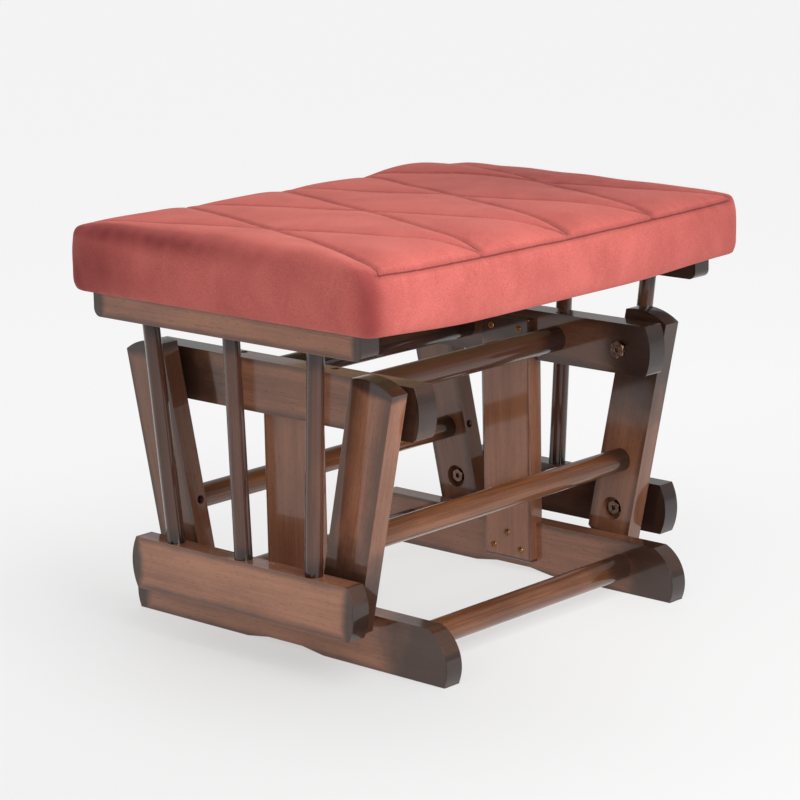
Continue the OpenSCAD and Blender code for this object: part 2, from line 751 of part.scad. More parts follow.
// Height of the quilted top above the seam
function top_rise(p) =
    let (e = min(1, max(0, seam_distance(p) / cushion_roll)), roll = sqrt(1 - pow(1 - e, 2)))
    roll * (cushion_crown - channel_depth * exp(-pow(2 * channel_distance(p) / channel_w, 2)));

// Grid points around the edge, counter-clockwise from above
EDGE = concat([for (i = [0 : last_column - 1]) [i, 0]], [for (j = [0 : last_row - 1]) [last_column, j]],
    [for (i = [last_column : -1 : 1]) [i, last_row]], [for (j = [last_row : -1 : 1]) [0, j]]);
edge_n = len(EDGE);
ring_n = len(side_height_shares);
grid_n = (last_column + 1) * (last_row + 1);
function grid_id(i, j) = i * (last_row + 1) + j;
function ring_id(ring, k) = ring == 0 ? grid_id(EDGE[k % edge_n][0], EDGE[k % edge_n][1])
    : grid_n + (ring - 1) * edge_n + k % edge_n;
function side_draw(ring) =
    side_seam_shares[ring] * cushion_seam_draw + side_foot_shares[ring] * cushion_foot_draw;

module cushion_form() {
    top = [for (i = [0 : last_column], j = [0 : last_row])
        let (p = plan_point(i, j, cushion_seam_draw)) [p[0], p[1], cushion_top_z + top_rise(p)]];
    sides = [for (ring = [1 : ring_n - 1], k = [0 : edge_n - 1])
        let (p = plan_point(EDGE[k][0], EDGE[k][1], side_draw(ring)))
        [p[0], p[1], seat_top + side_height_shares[ring] * cushion_side_h]];
    top_faces = [for (i = [0 : last_column - 1], j = [0 : last_row - 1], half = [0, 1])
        let (a = grid_id(i, j), b = grid_id(i + 1, j), c = grid_id(i + 1, j + 1), d = grid_id(i, j + 1))
        half == 0 ? [a, c, b] : [a, d, c]];
    side_faces = [for (ring = [0 : ring_n - 2], k = [0 : edge_n - 1], half = [0, 1])
        let (a = ring_id(ring, k), b = ring_id(ring, k + 1), c = ring_id(ring + 1, k + 1),
            d = ring_id(ring + 1, k))
        half == 0 ? [a, b, c] : [a, c, d]];
    bottom_face = [for (k = [0 : edge_n - 1]) ring_id(ring_n - 1, k)];
    translate([0, -cushion_shift, 0])
        polyhedron(points = concat(top, sides), faces = concat(top_faces, side_faces, [bottom_face]));
}

// The foam block inside the cover, or the space for it
module foam_block() {
    foam_w = cushion_w - 2 * cushion_foot_draw - 2 * cover_t;
    foam_d = cushion_d - 2 * cushion_foot_draw - 2 * cover_t;
    translate([-foam_w / 2, -cushion_shift - foam_d / 2, seat_top + cover_t / 4])
        cube([foam_w, foam_d, cushion_side_h - cover_t / 2]);
}

module cushion_foam() {
    color("#e6dcc0") foam_block();
}

module cushion_cover() {
    color("#c4625c") difference() {
        cushion_form();
        foam_block();
    }
}

base_rail(-1);  // base_rail_left
base_rail(1);  // base_rail_right
base_stretcher(-1);  // base_stretcher_front
base_stretcher(1);  // base_stretcher_rear
post(-1);  // post_left
post(1);  // post_right
hanger_rail(-1);  // hanger_rail_left
hanger_rail(1);  // hanger_rail_right
hanger_stretcher(-1);  // hanger_stretcher_front
hanger_stretcher(1);  // hanger_stretcher_rear
post_screws();
stretcher_lock_screws();
upper_pivot_bolts();
upper_pivot_sleeves();
link(-1, -1);  // link_front_left
link(1, -1);  // link_front_right
link_stretcher(-1);  // link_stretcher_front
link_screws(-1);  // link_screws_front
bearing_rings(-1);  // bearing_rings_front
bearing_balls(-1);  // bearing_balls_front
link(-1, 1);  // link_rear_left
link(1, 1);  // link_rear_right
link_stretcher(1);  // link_stretcher_rear
link_screws(1);  // link_screws_rear
bearing_rings(1);  // bearing_rings_rear
bearing_balls(1);  // bearing_balls_rear
lower_pivot_bolts(1);  // lower_pivot_bolts_rear
lower_pivot_sleeves(1, face_gap);  // lower_pivot_sleeves_rear
lower_pivot_bolts(-1);  // lower_pivot_bolts_front
lower_pivot_sleeves(-1, 0);  // lower_pivot_sleeves_front
pivot_inserts();
carrier_rail(-1);  // carrier_rail_left
carrier_rail(1);  // carrier_rail_right
spindle(-1, -1);  // spindle_left_front
spindle(-1, 0);  // spindle_left_middle
spindle(-1, 1);  // spindle_left_rear
spindle(1, -1);  // spindle_right_front
spindle(1, 0);  // spindle_right_middle
spindle(1, 1);  // spindle_right_rear
seat_rail(-1);  // seat_rail_left
seat_rail(1);  // seat_rail_right
seat_board();
seat_board_screws();
cushion_foam();
cushion_cover();
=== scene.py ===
# %% [markdown]
# # Dressing a glider ottoman
# The ottoman is a still base, two pairs of links that swing on ball bearings, and a seat that hangs
# between them under a quilted velvet cushion. Every board, bolt and bearing already exists as a
# imported model at its true size, so it could be drawn again by hand or carried over. It is carried
# over here: the imported model gives each piece its place, and this script gives it its finish.

# %% Load the imported model
import math
import bmesh
import bpy
import numpy as np
from mathutils import Matrix, Vector
from mathutils.bvhtree import BVHTree


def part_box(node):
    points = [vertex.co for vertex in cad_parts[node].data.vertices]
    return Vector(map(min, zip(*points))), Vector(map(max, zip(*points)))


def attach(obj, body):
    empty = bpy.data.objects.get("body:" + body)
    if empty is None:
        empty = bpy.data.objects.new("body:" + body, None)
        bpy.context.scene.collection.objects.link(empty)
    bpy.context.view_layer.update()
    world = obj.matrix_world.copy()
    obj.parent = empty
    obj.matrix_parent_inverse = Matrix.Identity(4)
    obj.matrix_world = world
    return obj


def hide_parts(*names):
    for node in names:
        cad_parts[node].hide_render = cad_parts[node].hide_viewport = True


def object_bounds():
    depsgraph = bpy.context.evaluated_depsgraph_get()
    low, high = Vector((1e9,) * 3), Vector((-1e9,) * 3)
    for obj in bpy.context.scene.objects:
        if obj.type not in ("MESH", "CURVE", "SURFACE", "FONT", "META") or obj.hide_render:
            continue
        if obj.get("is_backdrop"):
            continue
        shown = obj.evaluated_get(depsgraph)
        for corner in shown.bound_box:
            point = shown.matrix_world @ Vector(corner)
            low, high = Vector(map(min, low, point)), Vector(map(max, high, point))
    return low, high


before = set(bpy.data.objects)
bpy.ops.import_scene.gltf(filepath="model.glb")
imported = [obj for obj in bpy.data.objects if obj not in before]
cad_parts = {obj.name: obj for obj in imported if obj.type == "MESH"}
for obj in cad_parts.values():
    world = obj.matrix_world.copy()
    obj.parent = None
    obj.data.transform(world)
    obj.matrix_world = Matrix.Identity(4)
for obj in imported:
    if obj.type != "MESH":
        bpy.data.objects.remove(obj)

MM = 0.001
cad_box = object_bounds()

# %% [markdown]
# ## The camera
# A product picture like this is taken from a little above, with a long lens, so that upright lines
# stay almost parallel. The camera could be aimed with a Track To constraint, but its place was
# solved from the corners of the rails, so the three directions of its matrix are written down:
# to its right, up, and backwards, because a Blender camera looks along its own -Z.

# %% Place the camera
CAMERA_PLACE = (-1.99538, -1.82241, 0.82909)
CAMERA_RIGHT = Vector((0.67293, -0.73946, -0.01924))
CAMERA_UP = Vector((0.17927, 0.13780, 0.97410))
CAMERA_BACK = Vector((-0.71766, -0.65895, 0.22529))
LENS_MM, SENSOR_MM = 129.18, 36


def put_in_scene(name, data):
    """Makes an object from a mesh, a lamp or a camera, and links it to the scene."""
    made = bpy.data.objects.new(name, data)
    bpy.context.scene.collection.objects.link(made)
    return made


lens = bpy.data.cameras.new("picture_camera")
lens.lens, lens.sensor_width = LENS_MM, SENSOR_MM
camera = put_in_scene("picture_camera", lens)
camera.matrix_world = Matrix.Translation(CAMERA_PLACE) @ Matrix(
    (CAMERA_RIGHT, CAMERA_UP, CAMERA_BACK)).transposed().to_4x4()
bpy.context.scene.camera = camera
print("camera looks", round(math.degrees(math.asin(CAMERA_BACK.z)), 1), "degrees down")

# %% [markdown]
# ## Small helpers for shader nodes
# A material is a graph of nodes, and writing each node, value and link on its own line makes long
# scripts. A few helpers are enough: one adds a node and fills its sockets with numbers or links,
# and the others are short names for the nodes that this script needs again and again.

# %% Helpers for single nodes
def add_node(tree, kind, values=None, **settings):
    """Adds a shader node, sets its options, and fills its inputs with values or linked sockets."""
    made = tree.nodes.new("ShaderNode" + kind)
    for option, value in settings.items():
        setattr(made, option, value)
    for socket, value in (values or {}).items():
        if isinstance(value, bpy.types.NodeSocket):
            tree.links.new(value, made.inputs[socket])
        else:
            made.inputs[socket].default_value = value
    return made


def calc(tree, operation, *terms):
    """One Math node, such as calc(tree, "ADD", a, 0.5)."""
    return add_node(tree, "Math", dict(enumerate(terms)), operation=operation).outputs[0]


def vector_calc(tree, operation, *terms, result=0):
    """One Vector Math node; a length or a dot product comes out of its result "Value"."""
    return add_node(tree, "VectorMath", dict(enumerate(terms)), operation=operation).outputs[result]


def remap(tree, value, low, high, to_low=0.0, to_high=1.0):
    """Eases a value from one range to another."""
    return add_node(tree, "MapRange", {"Value": value, "From Min": low, "From Max": high,
                                       "To Min": to_low, "To Max": to_high},
                    interpolation_type="SMOOTHSTEP").outputs["Result"]


def blended(tree, first, second, share):
    """Two values in one: this share of the second, and the rest of the first."""
    return calc(tree, "ADD", calc(tree, "MULTIPLY", first, 1 - share),
                calc(tree, "MULTIPLY", second, share))


def mix_colour(tree, factor, first, second):
    """Blends two colours; a colour is a linked socket or a tuple of four."""
    return add_node(tree, "Mix", {0: factor, 6: first, 7: second}, data_type="RGBA").outputs[2]


def noise(tree, place, scale, detail, seed=None, **values):
    """A Noise Texture. With a seed it is 4D, so that each piece gets a pattern of its own."""
    values.update(Vector=place, Scale=scale, Detail=detail)
    if seed is None:
        return add_node(tree, "TexNoise", values).outputs[0]
    return add_node(tree, "TexNoise", {**values, "W": seed}, noise_dimensions="4D").outputs[0]


def written(tree, label, output="Fac"):
    """Reads what was written on the mesh under this label."""
    return add_node(tree, "Attribute", attribute_name=label).outputs[output]


def own_place(tree):
    """The place on the piece in its own coordinates, which move with it."""
    return add_node(tree, "TexCoord").outputs["Object"]


print("node helpers ready")

# %% Helpers for groups and whole materials
def new_group(name, inputs, outputs):
    """An empty shader node group; inputs and outputs are lists of (name, socket type, default)."""
    tree = bpy.data.node_groups.new(name, "ShaderNodeTree")
    for way, sockets in (("INPUT", inputs), ("OUTPUT", outputs)):
        for label, kind, default in sockets:
            made = tree.interface.new_socket(name=label, in_out=way,
                                             socket_type="NodeSocket" + kind)
            if default is not None:
                made.default_value = default
    return tree, tree.nodes.new("NodeGroupInput").outputs, tree.nodes.new("NodeGroupOutput").inputs


def place_group(tree, group, values):
    """Places a node group in a material."""
    return add_node(tree, "Group", values, node_tree=group).outputs


def srgb(red, green, blue):
    """A colour written as 0-255 on a screen, as the linear numbers that shaders use."""
    shares = [v / 255 for v in (red, green, blue)]
    linear = [v / 12.92 if v <= 0.04045 else ((v + 0.055) / 1.055) ** 2.4 for v in shares]
    return (*linear, 1.0)


def new_material(name, **shader_values):
    """A material with a Principled BSDF, whose own sockets take what is the same all over."""
    material = bpy.data.materials.new(name)
    material.use_nodes = True
    shader = material.node_tree.nodes["Principled BSDF"]
    for socket, value in shader_values.items():
        shader.inputs[socket.replace("_", " ")].default_value = value
    return material, material.node_tree, shader.inputs


def lay_surface(tree, shader, colour, mask, roughness, height, strength, distance):
    """Links a colour, a roughness that goes from its first to its second number as the mask goes
    from 0 to 1, and a fine bump."""
    bump = add_node(tree, "Bump", {"Height": height, "Strength": strength, "Distance": distance})
    tree.links.new(colour, shader["Base Color"])
    tree.links.new(remap(tree, mask, 0, 1, *roughness), shader["Roughness"])
    tree.links.new(bump.outputs[0], shader["Normal"])


print("material helpers ready")

# %% [markdown]
# ## Grain, shared by everything made of wood
# Stained wood shows long streaks and short dark pores. Image textures would need unwrapping, so the
# streaks are noise that is stretched along the board: broad bands, hair-thin lines, and clouds
# where the stain took unevenly. Each wooden piece brings its own place along, across and through
# the board as the attribute board_place, which keeps the grain running the right way in slanted
# links and round spindles.

# %% Node group: grain
# Spots per metre along and across the board, detail, and what is added to the piece's seed.
BROAD_BANDS, THIN_LINES, STAIN_CLOUDS = (3.5, 55, 3, 0.0), (14, 680, 4, 7.0), (9, 22, 2, 13.0)
PORES_PER_METRE, PORE_SHIFT, GRAIN_ROUGHNESS = 1300, 21.0, 0.62
CLOUD_SHARE, RIDGE_HEIGHT = 0.45, 0.35
DEEPEST_TONE, LIGHTEST_TONE, PORES_FROM, PORES_FULL = 0.3, 0.72, 0.58, 0.7


def make_grain_group():
    tree, given, result = new_group("board grain", [
        ("Place", "Vector", None), ("Seed", "Float", 0.0), ("Streaks", "Float", 1.0),
        ("Pore Stretch", "Float", 0.1)], [
        ("Tone", "Float", None), ("Pores", "Float", None), ("Height", "Float", None)])

    def stretched_noise(along, across, detail, shift):
        """Noise that is drawn out along the board."""
        scale = add_node(tree, "CombineXYZ", {0: along, 1: across, 2: across}).outputs[0]
        return noise(tree, vector_calc(tree, "MULTIPLY", given["Place"], scale), 1.0, detail,
                     seed=calc(tree, "ADD", given["Seed"], shift), Roughness=GRAIN_ROUGHNESS)

    lines = stretched_noise(*THIN_LINES)
    streaks = calc(tree, "MULTIPLY", calc(tree, "SUBTRACT", lines, 0.5), given["Streaks"])
    tone = blended(tree, stretched_noise(*BROAD_BANDS), stretched_noise(*STAIN_CLOUDS),
                   CLOUD_SHARE)
    tree.links.new(remap(tree, calc(tree, "ADD", tone, streaks), DEEPEST_TONE, LIGHTEST_TONE),
                   result["Tone"])
    pore_length = calc(tree, "MULTIPLY", given["Pore Stretch"], PORES_PER_METRE)
    flecks = stretched_noise(pore_length, PORES_PER_METRE, 1, PORE_SHIFT)
    pores = remap(tree, flecks, PORES_FROM, PORES_FULL)
    ridges = calc(tree, "MULTIPLY", lines, RIDGE_HEIGHT)
    tree.links.new(pores, result["Pores"])
    tree.links.new(calc(tree, "SUBTRACT", ridges, pores), result["Height"])
    return tree


grain_group = make_grain_group()
print("group:", grain_group.name)

# %% [markdown]
# ## The finisher's glaze
# A finisher sprays a dark glaze towards the ends and edges of each piece, further on some boards
# than on others; where a board sits in shade, as the low end of the near front link does beside
# the carriers, the longer reach is painted shade as well. It could be painted by hand on every
# board. Here it is worked out from the same attributes: how far a place is from the low end, the
# high end and the sides, set against how far the glaze reaches there. A slow noise makes its edge
# wander. The last centimetre at each end is darkest, and the glaze of the sides counts in full
# only on the broad faces, and at a share of 0.4 on the narrow ones.

# %% Node group: glaze
END_DARK, TIP_DARK, SIDE_DARK, NARROW_FACE_SHARE = 0.86, 0.95, 0.6, 0.4
END_FADE, TIP_FADE, SIDE_FADE = 0.6, 0.9, 0.9
TIP_REACH, BROAD_FROM, BROAD_FULL, WANDER_SCALE, WANDER = 11 * MM, 0.1 * MM, 0.8 * MM, 30.0, 0.7


def make_glaze_group():
    tree, given, result = new_group("finisher's glaze", [
        ("Place", "Vector", None), ("Half", "Vector", None), ("Reach", "Vector", None),
        ("Seed", "Float", 0.0)], [("Dark", "Float", None)])
    place, half, reach = (add_node(tree, "SeparateXYZ", {0: given[label]}).outputs
                          for label in ("Place", "Half", "Reach"))
    cloud = noise(tree, given["Place"], WANDER_SCALE, 3.0, seed=given["Seed"])
    wander = calc(tree, "MULTIPLY", calc(tree, "SUBTRACT", cloud, 0.5), WANDER)

    def darkened(gap, far, fade, strength):
        """Full strength at the edge, gone at the reach; fade is the share that fades."""
        share = calc(tree, "ADD", calc(tree, "DIVIDE", gap, far), wander)
        return remap(tree, share, 1.0 - fade, 1.0, strength, 0.0)

    side_gap = calc(tree, "SUBTRACT", half[1], calc(tree, "ABSOLUTE", place[1]))
    on_broad_face = remap(tree, side_gap, BROAD_FROM, BROAD_FULL, NARROW_FACE_SHARE, 1.0)
    sides = darkened(side_gap, reach[2], SIDE_FADE, SIDE_DARK)
    dark = calc(tree, "MULTIPLY", sides, on_broad_face)
    for gap, far in ((calc(tree, "ADD", half[0], place[0]), reach[0]),
                     (calc(tree, "SUBTRACT", half[0], place[0]), reach[1])):
        dark = calc(tree, "MAXIMUM", dark, darkened(gap, far, END_FADE, END_DARK))
        tip = darkened(gap, calc(tree, "MINIMUM", far, TIP_REACH), TIP_FADE, TIP_DARK)
        dark = calc(tree, "MAXIMUM", dark, tip)
    tree.links.new(dark, result["Dark"])
    return tree


glaze_group = make_glaze_group()
print("group:", glaze_group.name)

# %% [markdown]
# ## The walnut finish
# Reddish-brown stain under a glossy lacquer. The stain could be one colour with a rough coat, but
# what makes it read as wood is that tone, pores and glaze change the colour while the lacquer stays
# even. So the groups drive Base Color, Roughness and a small Bump, and the lacquer is the coat of
# the Principled shader, with its numbers on the shader's own sockets. Boards, stretchers and
# spindles share the recipe: stretchers show livelier grain, and spindles are darker. Each piece
# also says how much darker it is made: by a deeper stain, and on pieces that sit in shade,
# such as the right-hand boards and the rear spindles, by painted shade. The glaze lies in its
# rounded edges.

# %% Walnut for boards, stretchers and spindles
STAIN_AND_SHADE_BROWN, PORE_BROWN, GLAZE_BROWN = srgb(58, 34, 26), srgb(46, 26, 18), srgb(24, 14, 12)
PORE_SHARE, ROUNDED_EDGE_SHARE = 0.4, 0.4


def make_walnut(name, light, deep, streaks, pore_stretch):
    material, tree, shader = new_material(name, Coat_Weight=1.0, Coat_Roughness=0.09, Coat_IOR=1.5,
                                          Specular_IOR_Level=0.1)
    place, half, reach = (written(tree, "board_" + label, "Vector")
                          for label in ("place", "half", "glaze"))
    seed = written(tree, "board_seed")
    grain = place_group(tree, grain_group, {"Place": place, "Seed": seed, "Streaks": streaks,
                                            "Pore Stretch": pore_stretch})
    glaze = place_group(tree, glaze_group, {"Place": place, "Half": half, "Seed": seed,
                                            "Reach": reach})
    stain = mix_colour(tree, grain["Tone"], deep, light)
    stain = mix_colour(tree, written(tree, "stain_and_shade_depth"), stain, STAIN_AND_SHADE_BROWN)
    stain = mix_colour(tree, calc(tree, "MULTIPLY", grain["Pores"], PORE_SHARE), stain, PORE_BROWN)
    rounded = calc(tree, "MULTIPLY", written(tree, "rounded_edge"), ROUNDED_EDGE_SHARE)
    stain = mix_colour(tree, calc(tree, "MAXIMUM", glaze["Dark"], rounded), stain, GLAZE_BROWN)
    lay_surface(tree, shader, stain, grain["Tone"], roughness=(0.5, 0.38),
                height=grain["Height"], strength=0.18, distance=0.6 * MM)
    return material


walnut_board = make_walnut("walnut_board", light=srgb(160, 108, 80), deep=srgb(122, 77, 55),
                           streaks=0.36, pore_stretch=0.12)
walnut_rod = make_walnut("walnut_rod", light=srgb(124, 76, 44), deep=srgb(74, 41, 25),
                         streaks=0.5, pore_stretch=0.45)
walnut_spindle = make_walnut("walnut_spindle", light=srgb(98, 62, 46), deep=srgb(62, 37, 28),
                             streaks=0.45, pore_stretch=0.4)
print("finishes:", walnut_board.name, walnut_rod.name, walnut_spindle.name)

# %% [markdown]
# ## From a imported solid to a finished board
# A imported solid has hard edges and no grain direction. It could be kept and given a Bevel modifier,
# but that would also round the mouths of the bored sockets, where a rod must sit tight. So each
# board is copied, its points are welded, its flat faces are joined, and only its outer edges are
# rounded. A short ray tells the two apart: leaving an outer edge it meets nothing, while inside a
# bore it meets the wall across.

# %% Helpers for welding and rounding
WELD_GAP, FLAT_ANGLE = 0.01 * MM, math.radians(0.5)
FACE_GAP, RAY_START, RAY_LENGTH, INWARD = 0.1 * MM, 0.2 * MM, 300 * MM, 0.02
NEARLY_ALONG_X = 0.9


def welded_copy(node):
    """A bmesh of a node, welded, with its flat faces joined."""
    shape = bmesh.new()
    shape.from_mesh(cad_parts[node].data)
    bmesh.ops.remove_doubles(shape, verts=shape.verts, dist=WELD_GAP)
    bmesh.ops.dissolve_limit(shape, angle_limit=FLAT_ANGLE, verts=shape.verts, edges=shape.edges)
    shape.normal_update()
    return shape


def runs_across(edge):
    """Whether an edge runs through the board, which lies flat across X."""
    return abs((edge.verts[1].co - edge.verts[0].co).normalized().x) > NEARLY_ALONG_X


def outer_edges(shape, corner_angle):
    """The edges to round: the rims of both broad faces, and the corners of the outline."""
    tree = BVHTree.FromBMesh(shape)
    places = [v.co.x for v in shape.verts]
    low, high, chosen = min(places) + FACE_GAP, max(places) - FACE_GAP, []
    for edge in shape.edges:
        if len(edge.link_faces) != 2 or edge.calc_face_angle() < math.radians(corner_angle):
            continue
        start, ends = (edge.verts[0].co + edge.verts[1].co) / 2, [v.co.x for v in edge.verts]
        if runs_across(edge):
            way = (edge.link_faces[0].normal + edge.link_faces[1].normal).normalized()
        elif max(ends) < low or min(ends) > high:
            wall = min(edge.link_faces, key=lambda face: abs(face.normal.x))
            way, start = wall.normal, wall.calc_center_median() * INWARD + start * (1 - INWARD)
        else:
            continue
        if tree.ray_cast(start + way * RAY_START, way, RAY_LENGTH)[0] is None:
            chosen.append(edge)
    return chosen


def round_edges(shape, edges, radius, steps=3):
    """Rounds edges and marks the new faces, so that a material can find them."""
    mark = shape.faces.layers.float.new("rounded_edge")
    made = bmesh.ops.bevel(shape, geom=edges, offset=radius, segments=steps, profile=0.5,
                           affect="EDGES", clamp_overlap=True)
    for face in made["faces"]:
        face[mark] = 1.0


print("rounding helpers ready")

# %% [markdown]
# ## What every new piece gets
# A piece needs smooth shading that stops at its sharp edges, a material, the body that it rides on
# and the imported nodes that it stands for. The grain needs directions too. They could come from an
# empty for each board, but numbers written on the mesh need no second object and move with the
# piece, so each point gets its place in the board's own directions, counted from the middle of the
# board.

# %% Helpers for finishing a piece and laying its grain
SMOOTH_ANGLE, SEED_STEP = math.radians(32), 3.7
piece_count = 0


def finish_piece(shape, name, body, material, nodes):
    """Turns a bmesh into a piece that rides on a body and stands for its nodes."""
    mesh = bpy.data.meshes.new(name)
    shape.to_mesh(mesh)
    shape.free()
    mesh.shade_smooth()
    mesh.set_sharp_from_angle(angle=SMOOTH_ANGLE)
    mesh.materials.append(material)
    piece = put_in_scene(name, mesh)
    piece.modifiers.new("even shading", "WEIGHTED_NORMAL").keep_sharp = True
    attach(piece, body)
    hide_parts(*nodes)
    return piece


def read_vectors(rows, field):
    """One three-number value of every row, such as the place of every point, as an array."""
    flat = np.empty(len(rows) * 3)
    rows.foreach_get(field, flat)
    return flat.reshape(-1, 3)


def write_on_points(mesh, label, values):
    """Writes one number or one vector for each point of a mesh, for a material to read."""
    kind, field = ("FLOAT", "value") if values.ndim == 1 else ("FLOAT_VECTOR", "vector")
    layer = mesh.attributes.new(label, kind, "POINT")
    layer.data.foreach_set(field, np.ascontiguousarray(values, np.float32).ravel())


def lay_grain(piece, along, across, glaze, stain_and_shade_depth):
    """Writes the grain's directions, how far the dark glaze reaches in mm, from the low end, from
    the high end and from the sides, and how much darker than usual the piece is made: by a deeper
    stain, and on pieces in shade by painted shade."""
    global piece_count
    piece_count += 1
    axes = np.array([along, across, np.cross(along, across)], float)
    places = read_vectors(piece.data.vertices, "co") @ axes.T
    low, high = places.min(0), places.max(0)
    write_on_points(piece.data, "board_place", places - (low + high) / 2)
    for label, value in (("board_half", (high - low) / 2), ("board_glaze", np.array(glaze) * MM),
                         ("board_seed", piece_count * SEED_STEP), ("stain_and_shade_depth", stain_and_shade_depth)):
        write_on_points(piece.data, label, np.broadcast_to(value, (len(places), *np.shape(value))))


print("piece helpers ready")

# %% [markdown]
# ## The boards
# Rails, posts, hangers, links and carriers are sawn from 20 to 24 mm stock, and a router has run
# around each outline with a small round-over cutter. Each could have a cell of its own, but all of
# them go through the same steps, so one function dresses them. They differ in the direction of
# their grain: along Y in the rails, upright in the posts, and along the slanted centre line in the
# links. They also differ in their finish, so one table says how far the glaze reaches on each, and
# how deep its stain is; on boards that sit in shade, part of both is painted shade. The hanger
# rails' lower corners are cut rounder before the router runs around them.

# %% Dress the boards
ROUND_OVER, HANGER_CORNER, OUTLINE_ANGLE = 2.2 * MM, 6 * MM, 22
ALONG_Y, UPRIGHT = (0, 1, 0), (0, 0, 1)
LINK_LEAN = math.atan2(37, 173)
LOWEST_EDGES, LOWER_CORNER_ANGLE = 2 * MM, math.radians(40)
# How far the glaze reaches in mm, from the low end, the high end and the sides; depth of stain.
# Part of both is painted shade: the long low reach of link_front_left beside the carriers, and the
# deeper stain of the right-hand boards, which sit in shade.
BOARD_GLAZE_STAIN_AND_SHADE = {
    "base_rail_left": ((110, 24, 8), 0.1), "base_rail_right": ((90, 24, 8), 0.25),
    "hanger_rail_left": ((60, 150, 8), 0.0), "hanger_rail_right": ((85, 60, 12), 0.75),
    "post_left": ((34, 22, 5), 0.0), "post_right": ((4, 44, 5), 0.1),
    "carrier_rail_left": ((18, 16, 8), 0.0), "carrier_rail_right": ((150, 60, 12), 0.8),
    "seat_rail_left": ((16, 20, 8), 0.0), "seat_rail_right": ((140, 20, 8), 0.35),
    "link_front_left": ((130, 18, 24), 0.0), "link_front_right": ((12, 160, 8), 0.4),
    "link_rear_left": ((18, 18, 8), 0.45), "link_rear_right": ((18, 18, 8), 0.4)}


def soften_lower_corners(shape, radius):
    """Rounds the lower corners at both ends of a board's outline, seen from its broad face."""
    lowest = min(v.co.z for v in shape.verts) + LOWEST_EDGES
    corners = [edge for edge in shape.edges
               if runs_across(edge) and max(v.co.z for v in edge.verts) < lowest
               and edge.calc_face_angle(0.0) > LOWER_CORNER_ANGLE]
    bmesh.ops.bevel(shape, geom=corners, offset=radius, segments=6, profile=0.5, affect="EDGES")
    print("lower corners softened:", len(corners))


def dress_board(node, body, along, across, lower_corner=0.0):
    shape = welded_copy(node)
    if lower_corner > 0:
        soften_lower_corners(shape, lower_corner)
    round_edges(shape, outer_edges(shape, OUTLINE_ANGLE), ROUND_OVER)
    piece = finish_piece(shape, node + "_board", body, walnut_board, [node])
    lay_grain(piece, along, across, *BOARD_GLAZE_STAIN_AND_SHADE[node])


for side in ("left", "right"):
    dress_board("base_rail_" + side, "base", ALONG_Y, UPRIGHT)
    dress_board("hanger_rail_" + side, "base", ALONG_Y, UPRIGHT, HANGER_CORNER)
    dress_board("post_" + side, "base", UPRIGHT, ALONG_Y)
    dress_board("carrier_rail_" + side, "seat", ALONG_Y, UPRIGHT)
    dress_board("seat_rail_" + side, "seat", ALONG_Y, UPRIGHT)
    for end, way in (("front", -1), ("rear", 1)):
        slant = (0, way * math.sin(LINK_LEAN), math.cos(LINK_LEAN))
        dress_board(f"link_{end}_{side}", end + "_links", slant, (0, slant[2], -slant[1]))
print("boards dressed:", piece_count)

# %% [markdown]
# ## The turned rods
# Stretchers and spindles are turned on a lathe, so their grain runs along the rod and they have no
# edges to round. The stain gathers where a rod enters a board, which the glaze gives with its own
# reach at each end. The direction of a slanted spindle isn't worth working out by hand: the longest
# principal direction of its own points is exactly its centre line. That direction may come out
# either way round, so it is turned towards right, rear and up, and the low end is always the left,
# front or lower one.

# %% Dress the stretchers and spindles
ROD_GLAZE, SPINDLE_GLAZE, NO_SIDE_REACH = (34, 60), (34, 34), 0.01
HELPER_AXIS = (0.3, 1.0, 0.2)


def dress_rod(node, body, finish, glaze=ROD_GLAZE, stain_and_shade_depth=0.0):
    piece = finish_piece(welded_copy(node), node + "_rod", body, finish, [node])
    points = read_vectors(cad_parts[node].data.vertices, "co")
    along = np.linalg.svd(points - points.mean(0), full_matrices=False)[2][0]
    along = along * np.sign(along.sum())
    across = np.cross(along, HELPER_AXIS)
    lay_grain(piece, along, across / np.linalg.norm(across), (*glaze, NO_SIDE_REACH), stain_and_shade_depth)


HANGER_STRETCHERS = {"front": (ROD_GLAZE, 0.8), "rear": ((240, 120), 0.95)}
for end in ("front", "rear"):
    dress_rod("base_stretcher_" + end, "base", walnut_rod, (34, 90))
    dress_rod("hanger_stretcher_" + end, "base", walnut_rod, *HANGER_STRETCHERS[end])
    dress_rod("link_stretcher_" + end, end + "_links", walnut_rod)
for side in ("left", "right"):
    # The rear spindles sit in the shade of the cushion: their deeper stain is painted shade.
    for row, stain_and_shade_depth in (("front", 0.0), ("middle", 0.0), ("rear", 0.7)):
        dress_rod(f"spindle_{side}_{row}", "seat", walnut_spindle, SPINDLE_GLAZE, stain_and_shade_depth)
print("wooden pieces dressed:", piece_count)

# %% [markdown]
# ## Handled metal, shared by bolts, screws and bearings
# New hardware is never one even colour: plating is blotchy, and corners that a spanner has touched
# show the copper or steel below. Curvature nodes could find such corners, but they don't survive
# outside Blender, so the marked rounded faces carry the wear, and one group breaks it up with
# noise. The blotches read the object's own coordinates, which move with the piece.

# %% Node group: handled metal, and the metal finishes
BLOTCHES_PER_METRE, FINE_RATIO, ROUGHNESS_SPREAD = 300.0, 6.0, 0.07


def make_handled_group():
    tree, given, result = new_group("handled metal", [
        ("Place", "Vector", None), ("Edge", "Float", 0.0),
        ("Scale", "Float", BLOTCHES_PER_METRE)], [
        ("Blotch", "Float", None), ("Rub", "Float", None), ("Height", "Float", None)])
    blotch = noise(tree, given["Place"], given["Scale"], 3.0)
    fine_scale = calc(tree, "MULTIPLY", given["Scale"], FINE_RATIO)
    tree.links.new(remap(tree, blotch, 0.3, 0.7), result["Blotch"])
    rub = calc(tree, "MULTIPLY", given["Edge"], remap(tree, blotch, 0.3, 0.55, 0.45, 1.0))
    tree.links.new(rub, result["Rub"])
    tree.links.new(noise(tree, given["Place"], fine_scale, 2.0), result["Height"])
    return tree


handled_group = make_handled_group()


